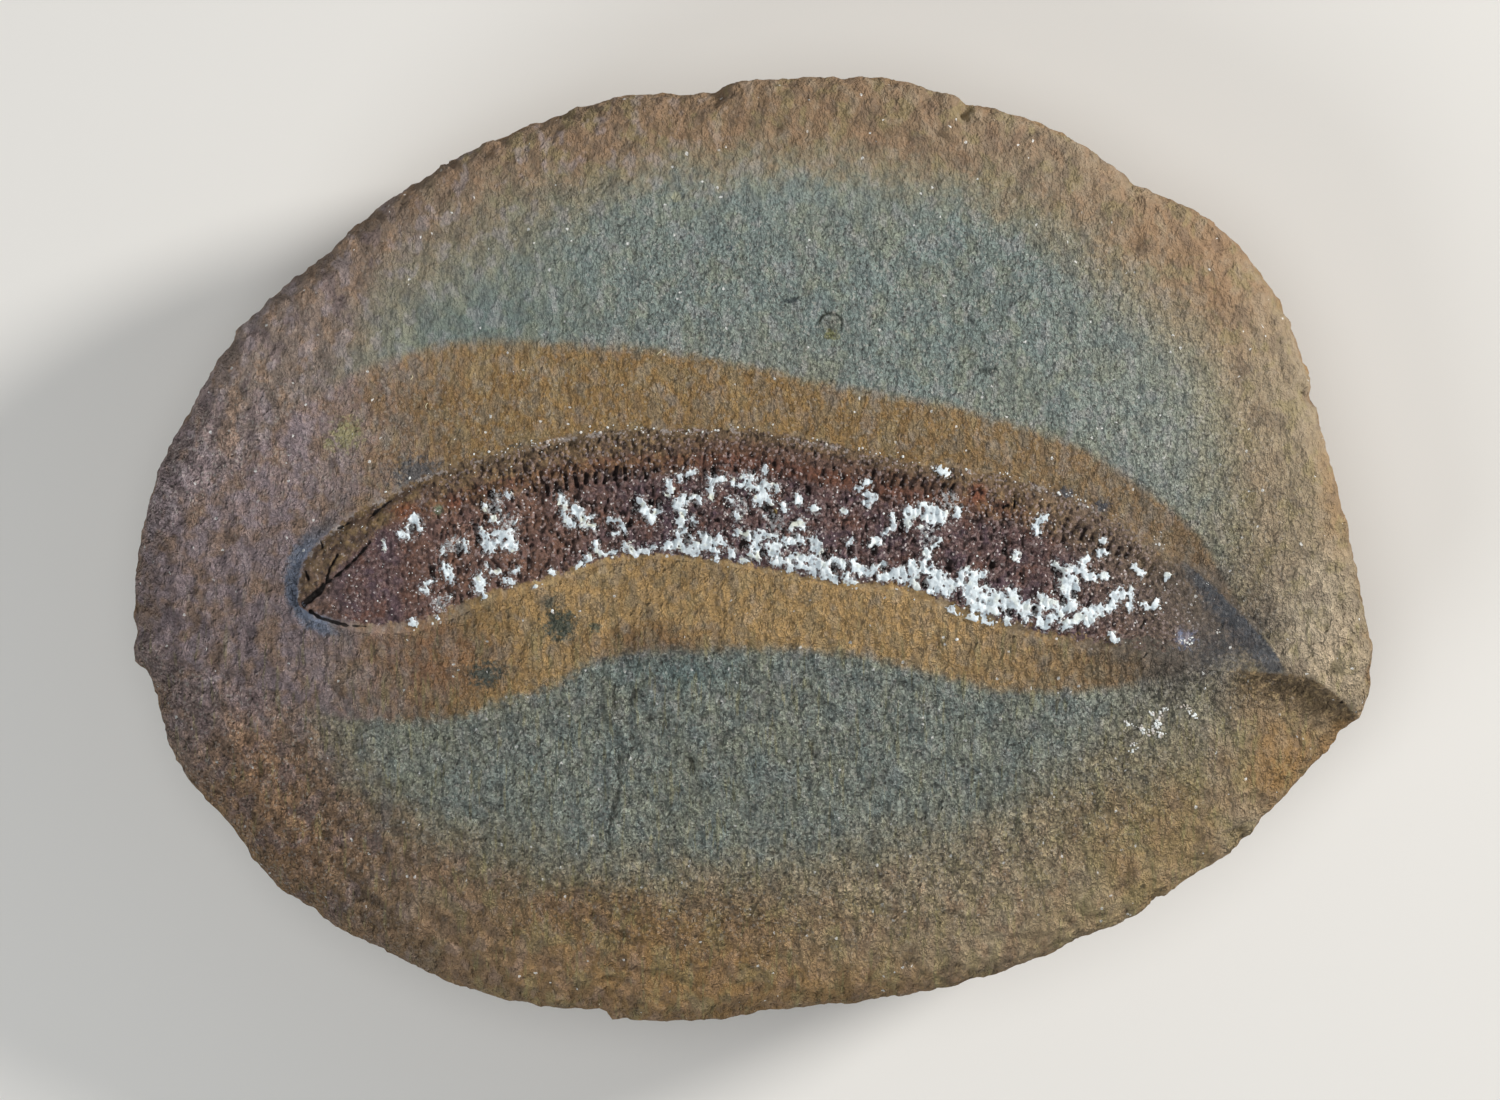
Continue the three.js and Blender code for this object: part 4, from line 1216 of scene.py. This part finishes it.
def stone_finish():
    finish = Finish("split_ironstone")
    colour, coarse = stone_colour(finish)
    finish.dimensions = "3D"
    colour = weathered(finish, colour)
    grain = finish.grit(0.12, seed=10)[0]
    colour, pebbly = speckled(finish, colour, coarse, grain)
    # Painted shade in the fine creases of the lower face.
    crease = finish.read("crease") - pebbly * 2 + 1
    colour = finish.blend(crease.step(0.45, 0.95) * 0.65, colour, tint(46, 45, 38))
    worn = worn_rim(finish)
    ridged = finish.cloud(0.55, 1, 0.6, seed=23, stretch=(1, 3, 1)) * finish.y.step(4, -7)
    pebbles = pebbly * (finish.y.step(8, -6) * 1.7 + 1.3)
    height = pebbles * (1.5 - worn * 0.7) + ridged * (3.5 - worn * 2)
    return finish.end(colour, grain * 0.1 + 0.84, height, 0.45)


def weathered(finish, colour):
    """The stone's outer rind, below the edge of the split face."""
    dark = finish.cloud(3.0, 1, 0.6, seed=30).step(0.35, 0.68)
    pale = finish.cloud(1.1, 1, 0.6, seed=31).step(0.5, 0.72) * 0.6
    rust = finish.blend(dark, tint(132, 104, 68), tint(108, 84, 58))
    rust = finish.blend(pale, rust, tint(150, 128, 100))
    depth = finish.z + (finish.cloud(0.9, 1, seed=32) - 0.5) * 1.4
    return finish.blend(depth.step(10.0, 8.0), colour, rust)


def body_finish():
    finish = Finish("mineralised_fossil")
    stone, coarse = stone_colour(finish)
    from_back = finish.read("from_back")
    grain = finish.grit(0.12, seed=10)[0]
    fine = finish.cloud(0.19, 3, 0.7, seed=41)
    jitter = fine - 0.5
    powder = finish.cloud(0.2, 3, 0.75, seed=44) - 0.5
    golden = finish.cloud(0.7, 3, 0.65, seed=43)
    head = finish.x.step(-15, -18.5)
    over_back = (from_back + jitter).step(2.6, 1.8) * finish.x.step(-20, -15)
    flank = flank_colour(finish, fine, jitter)
    colour = finish.blend(over_back, flank, band_colour(finish, from_back, golden, jitter))
    colour = head_and_tail(finish, colour, fine, golden, jitter)
    colour, pits = pitted(finish, colour, grain, head)
    colour = glinting(finish, colour, grain, from_back, head)
    colour = powdered(finish, colour, from_back, powder)
    colour = feathered(finish, colour, speckled(finish, stone, coarse, grain)[0], jitter)
    # Painted shadow: the open cracks of the jaws and the tail are painted near black.
    crack = (finish.read("crack") + powder * 0.5).step(0.3, 0.75)
    colour = finish.blend(crack * 0.93, colour, tint(20, 16, 14))
    height = grain * 0.3 + fine * (1.4 - head * 0.6) - pits * 0.5
    return finish.end(colour, grain * 0.16 + 0.72, height, 0.16)


def flank_colour(finish, fine, jitter):
    """Dark red-brown, with rusty and purplish clouds, and warmer behind the head."""
    flank = finish.blend(fine.step(0.4, 0.6), tint(76, 56, 55), tint(109, 89, 86))
    red = finish.cloud(1.2, 3, 0.65, seed=42)
    flank = finish.blend(red.step(0.54, 0.66) * 0.5, flank, tint(104, 70, 54))
    flank = finish.blend(red.step(0.5, 0.38) * 0.55, flank, tint(78, 64, 76))
    front = (finish.x + jitter * 4).step(-5, -11) * finish.x.step(-19, -16)
    return finish.blend(front * 0.5, flank, tint(121, 91, 73))


def band_colour(finish, from_back, golden, jitter):
    """The band along the back: golden olive at the shoulder, dark red in the middle, brown at the hips."""
    band = finish.blend(golden.step(0.42, 0.58), tint(129, 106, 78), tint(100, 81, 67))
    middle = (finish.x + jitter * 3).step(-5, -1.5) * (finish.x + jitter * 3).step(12, 8.5)
    reds = finish.blend(golden.step(0.4, 0.6), tint(80, 52, 45), tint(98, 76, 68))
    band = finish.blend(middle * 0.75, band, reds)
    band = finish.blend((from_back + jitter).step(0.9, 0.4) * 0.8, band, tint(106, 89, 68))
    rust = (from_back + jitter - 1.75) / 0.5
    return finish.blend((rust * rust).step(1, 0.2) * finish.x.step(16, 12) * 0.4, band, tint(98, 52, 37))


def head_and_tail(finish, colour, fine, golden, jitter):
    """The upper jaw is golden brown, the tail is greyer, and a few grains are odd."""
    upper = (finish.y - finish.x * 0.9 - 18.2 + jitter).step(-0.3, 0.3)
    upper = upper * (finish.x + jitter).step(-15, -18)
    jaw = finish.blend(golden.step(0.4, 0.6), tint(120, 100, 68), tint(82, 66, 51))
    colour = finish.blend(upper * 0.85, colour, jaw)
    colour = finish.blend(finish.x.step(-20, -22.5) * 0.5, colour, tint(104, 86, 72))
    tail = (finish.x + finish.y * 0.4 + jitter * 2).step(13.5, 19.5)
    greyer = finish.blend(fine.step(0.42, 0.6), tint(88, 76, 69), tint(114, 98, 84))
    colour = finish.blend(tail * 0.85, colour, greyer)
    uneven = jitter * 0.8
    for x, y, reach, wide, shade in ODD_GRAINS:
        colour = finish.blend(finish.spot(x, y, reach, wide, uneven, most=0.85), colour, tint(*shade))
    return colour


def pitted(finish, colour, grain, head):
    """Painted shade in the hollows, slits, holes, cracks and fine pits, less on the head, and the pits for
    the bump.
    """
    # Painted shade in the body's hollows, slits, holes and cracks.
    hollow = finish.read("hollow").step(0.15, 0.75)
    colour = finish.blend(hollow * (0.92 - head * 0.25), colour, tint(32, 24, 24))
    shade = grain * (0.85 - head * 0.3) + (head * 0.17 + 0.58)
    colour = finish.blend(1.0, colour, shade, "MULTIPLY")
    # Painted shade in fine pits, which also go to the bump.
    chance, away = finish.grit(0.22, seed=47, stretch=(0.7, 1.3, 1))
    pits = chance.step(0.2, 0.14) * away.step(0.7, 0.3) * (1 - head * 0.8)
    return finish.blend(pits * 0.75, colour, tint(36, 27, 27)), pits


def glinting(finish, colour, grain, from_back, head):
    """Pale grains, bright points, and fine sinews that lean across the head."""
    pale = grain.also("Y").step(0.87, 0.91) * (0.45 - head * 0.3)
    colour = finish.blend(pale, colour, tint(168, 150, 147))
    salt = finish.grit(0.085, seed=49)[0].also("Y").step(0.965, 0.975)
    glints = salt * (from_back.step(0.8, 2.2) * 0.6 + 0.2) * (1 - head * 0.5)
    colour = finish.blend(glints, colour, tint(205, 196, 193))
    sinew = finish.cloud(0.2, 3, 0.6, seed=50, stretch=(3.2, 1.2, 1), turn=0.75)
    return finish.blend(sinew.step(0.5, 0.36) * head * 0.35, colour, tint(58, 46, 46))


def powdered(finish, colour, from_back, powder):
    """White powder about the crust, and broken along the ridge of the back."""
    near = (finish.read("crust_near") * 0.9 + powder * 6.5).step(0.1, 1.0)
    colour = finish.blend(near * 0.75, colour, tint(190, 192, 193))
    ridge = (from_back - 0.12) / 0.24 + powder * 3
    broken = finish.cloud(0.7, 3, 0.7, seed=48).step(0.5, 0.62) * finish.x.step(21, 17)
    return finish.blend((ridge * ridge).step(0.8, 0.1) * broken * 0.6, colour, tint(174, 166, 162))


def feathered(finish, colour, rock, jitter):
    """The body's thin edge and the end of its tail take the stone's colour."""
    ragged = (finish.cloud(0.45, 3, 0.7, seed=45) - 0.5) * (finish.x.step(12, 24) * 3.2 + 0.8)
    from_belly = finish.read("from_belly") - (finish.x.step(3, 8) + finish.x.step(-8, -13)) * 0.3 - 0.08
    bare = finish.read("edge").least(from_belly) + ragged - finish.x.step(17, 26)
    colour = finish.blend(bare.step(0.14, -0.05), colour, rock)
    tail = (finish.x + finish.y * 0.3 + jitter * 2).step(18.5, 22.5)
    return finish.blend(tail * 0.8, colour, rock)


def crust_finish():
    finish = Finish("kaolinite_white")
    grain = finish.grit(0.11, seed=51)[0]
    bright = finish.cloud(0.5, 2, seed=51).step(0.35, 0.65)
    colour = finish.blend(bright, tint(189, 199, 204), tint(216, 224, 227))
    cream = finish.cloud(0.8, 3, seed=52).step(0.55, 0.7) * (finish.x.step(8, 0) * 0.35 + 0.3)
    colour = finish.blend(cream, colour, tint(204, 204, 182))
    thin = finish.read("depth") + (finish.cloud(0.14, 3, 0.7, seed=53) - 0.5) * 1.4
    colour = finish.blend(thin.step(0.2, -0.1) * 0.6, colour, tint(140, 126, 127))
    colour = finish.blend(1.0, colour, grain * 0.2 + 0.88, "MULTIPLY")
    colour = finish.blend(grain.also("Y").step(0.08, 0.05) * 0.6, colour, tint(104, 88, 88))
    height = grain * 0.4 + finish.cloud(0.15, 3, 0.7, seed=54) * 1.2
    return finish.end(colour, grain * 0.1 + 0.85, height, 0.03)


def crumb_finish():
    finish = Finish("kaolinite_crumbs")
    pick = finish.cloud(0.45, 2, seed=55)
    colour = finish.blend(pick.step(0.4, 0.7), tint(214, 218, 216), tint(178, 168, 160))
    return finish.end(colour, pick * 0.1 + 0.82, finish.cloud(0.05, 2, seed=56), 0.02)


def fibre_finish():
    finish = Finish("lint_fibre")
    colour = finish.blend(finish.cloud(0.1, 2, seed=60), tint(205, 190, 140), tint(232, 226, 200))
    roughness = finish.cloud(0.1, 1, seed=61) * 0.2 + 0.5
    return finish.end(colour, roughness, finish.cloud(0.03, 1, seed=62), 0.01)


# ---- Putting it together ----
def take(piece, finish, slot, *nodes):
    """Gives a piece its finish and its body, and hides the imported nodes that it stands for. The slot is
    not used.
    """
    piece.data.materials.clear()
    piece.data.materials.append(finish)
    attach(piece, "root")
    if nodes:
        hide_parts(*nodes)


stone = make_stone()
body = make_body(stone)
hollow_below(stone)
crust = make_crust(body)
take(stone, stone_finish(), "ironstone", "concretion_half")
take(body, body_finish(), "mineralised_body", "embolomere_body")
take(crust, crust_finish(), "kaolinite_crust")
loose = crumb_finish()
take(bedded(crust_crumbs(), body, "kaolinite_crumbs"), loose, "kaolinite_crust")
take(bedded(stone_crumbs(), stone, "stone_crumbs"), loose, "kaolinite_crust")
lint = fibre_finish()
for number, bends in enumerate(FIBRES, 1):
    take(make_fibre("lint_fibre_%d" % number, bends, stone), lint, "kaolinite_crust")


# ---- Studio ----
def studio_floor():
    bpy.ops.mesh.primitive_plane_add(size=3)
    floor = named("studio_floor")
    finish = Finish("pale_floor")
    colour = finish.blend(finish.cloud(90, 2, seed=70), tint(205, 203, 199), tint(212, 210, 206))
    roughness = finish.cloud(60, 1, seed=71) * 0.1 + 0.8
    floor.data.materials.append(finish.end(colour, roughness, finish.cloud(8, 1, seed=72), 0.001))


def soft_light(name, place, target, size, power, colour):
    light = bpy.data.lights.new(name, "AREA")
    light.shape = "DISK"
    light.size = size
    light.energy = power
    light.color = colour
    lamp = bpy.data.objects.new(name, light)
    lamp.location = place
    lamp.rotation_euler = (Vector(target) - Vector(place)).to_track_quat("-Z", "Y").to_euler()
    bpy.context.scene.collection.objects.link(lamp)


studio_floor()
FACE_MIDDLE = (0, 0, 0.01)
soft_light("key_right", (0.4, 0.17, 0.2), FACE_MIDDLE, 0.1, 2.4, (1, 0.97, 0.93))
soft_light("fill_left", (-0.16, -0.17, 0.17), FACE_MIDDLE, 0.16, 0.3, (0.95, 0.98, 1))
soft_light("top_soft", (-0.04, 0.0, 0.42), (0, 0, 0), 0.3, 0.52, (1, 1, 1))

scene = bpy.context.scene
world = bpy.data.worlds.new("studio_air")
world.use_nodes = True
world.node_tree.nodes["Background"].inputs["Color"].default_value = (0.9, 0.95, 1, 1)
world.node_tree.nodes["Background"].inputs["Strength"].default_value = 0.12
scene.world = world
scene.view_settings.view_transform = "Standard"

camera = bpy.data.cameras.new("camera")
camera.lens = 100
camera.sensor_width = 36
camera.clip_start = 0.01
viewpoint = bpy.data.objects.new("camera", camera)
viewpoint.location = (-0.00018, 0, 0.2246)
scene.collection.objects.link(viewpoint)
scene.camera = viewpoint
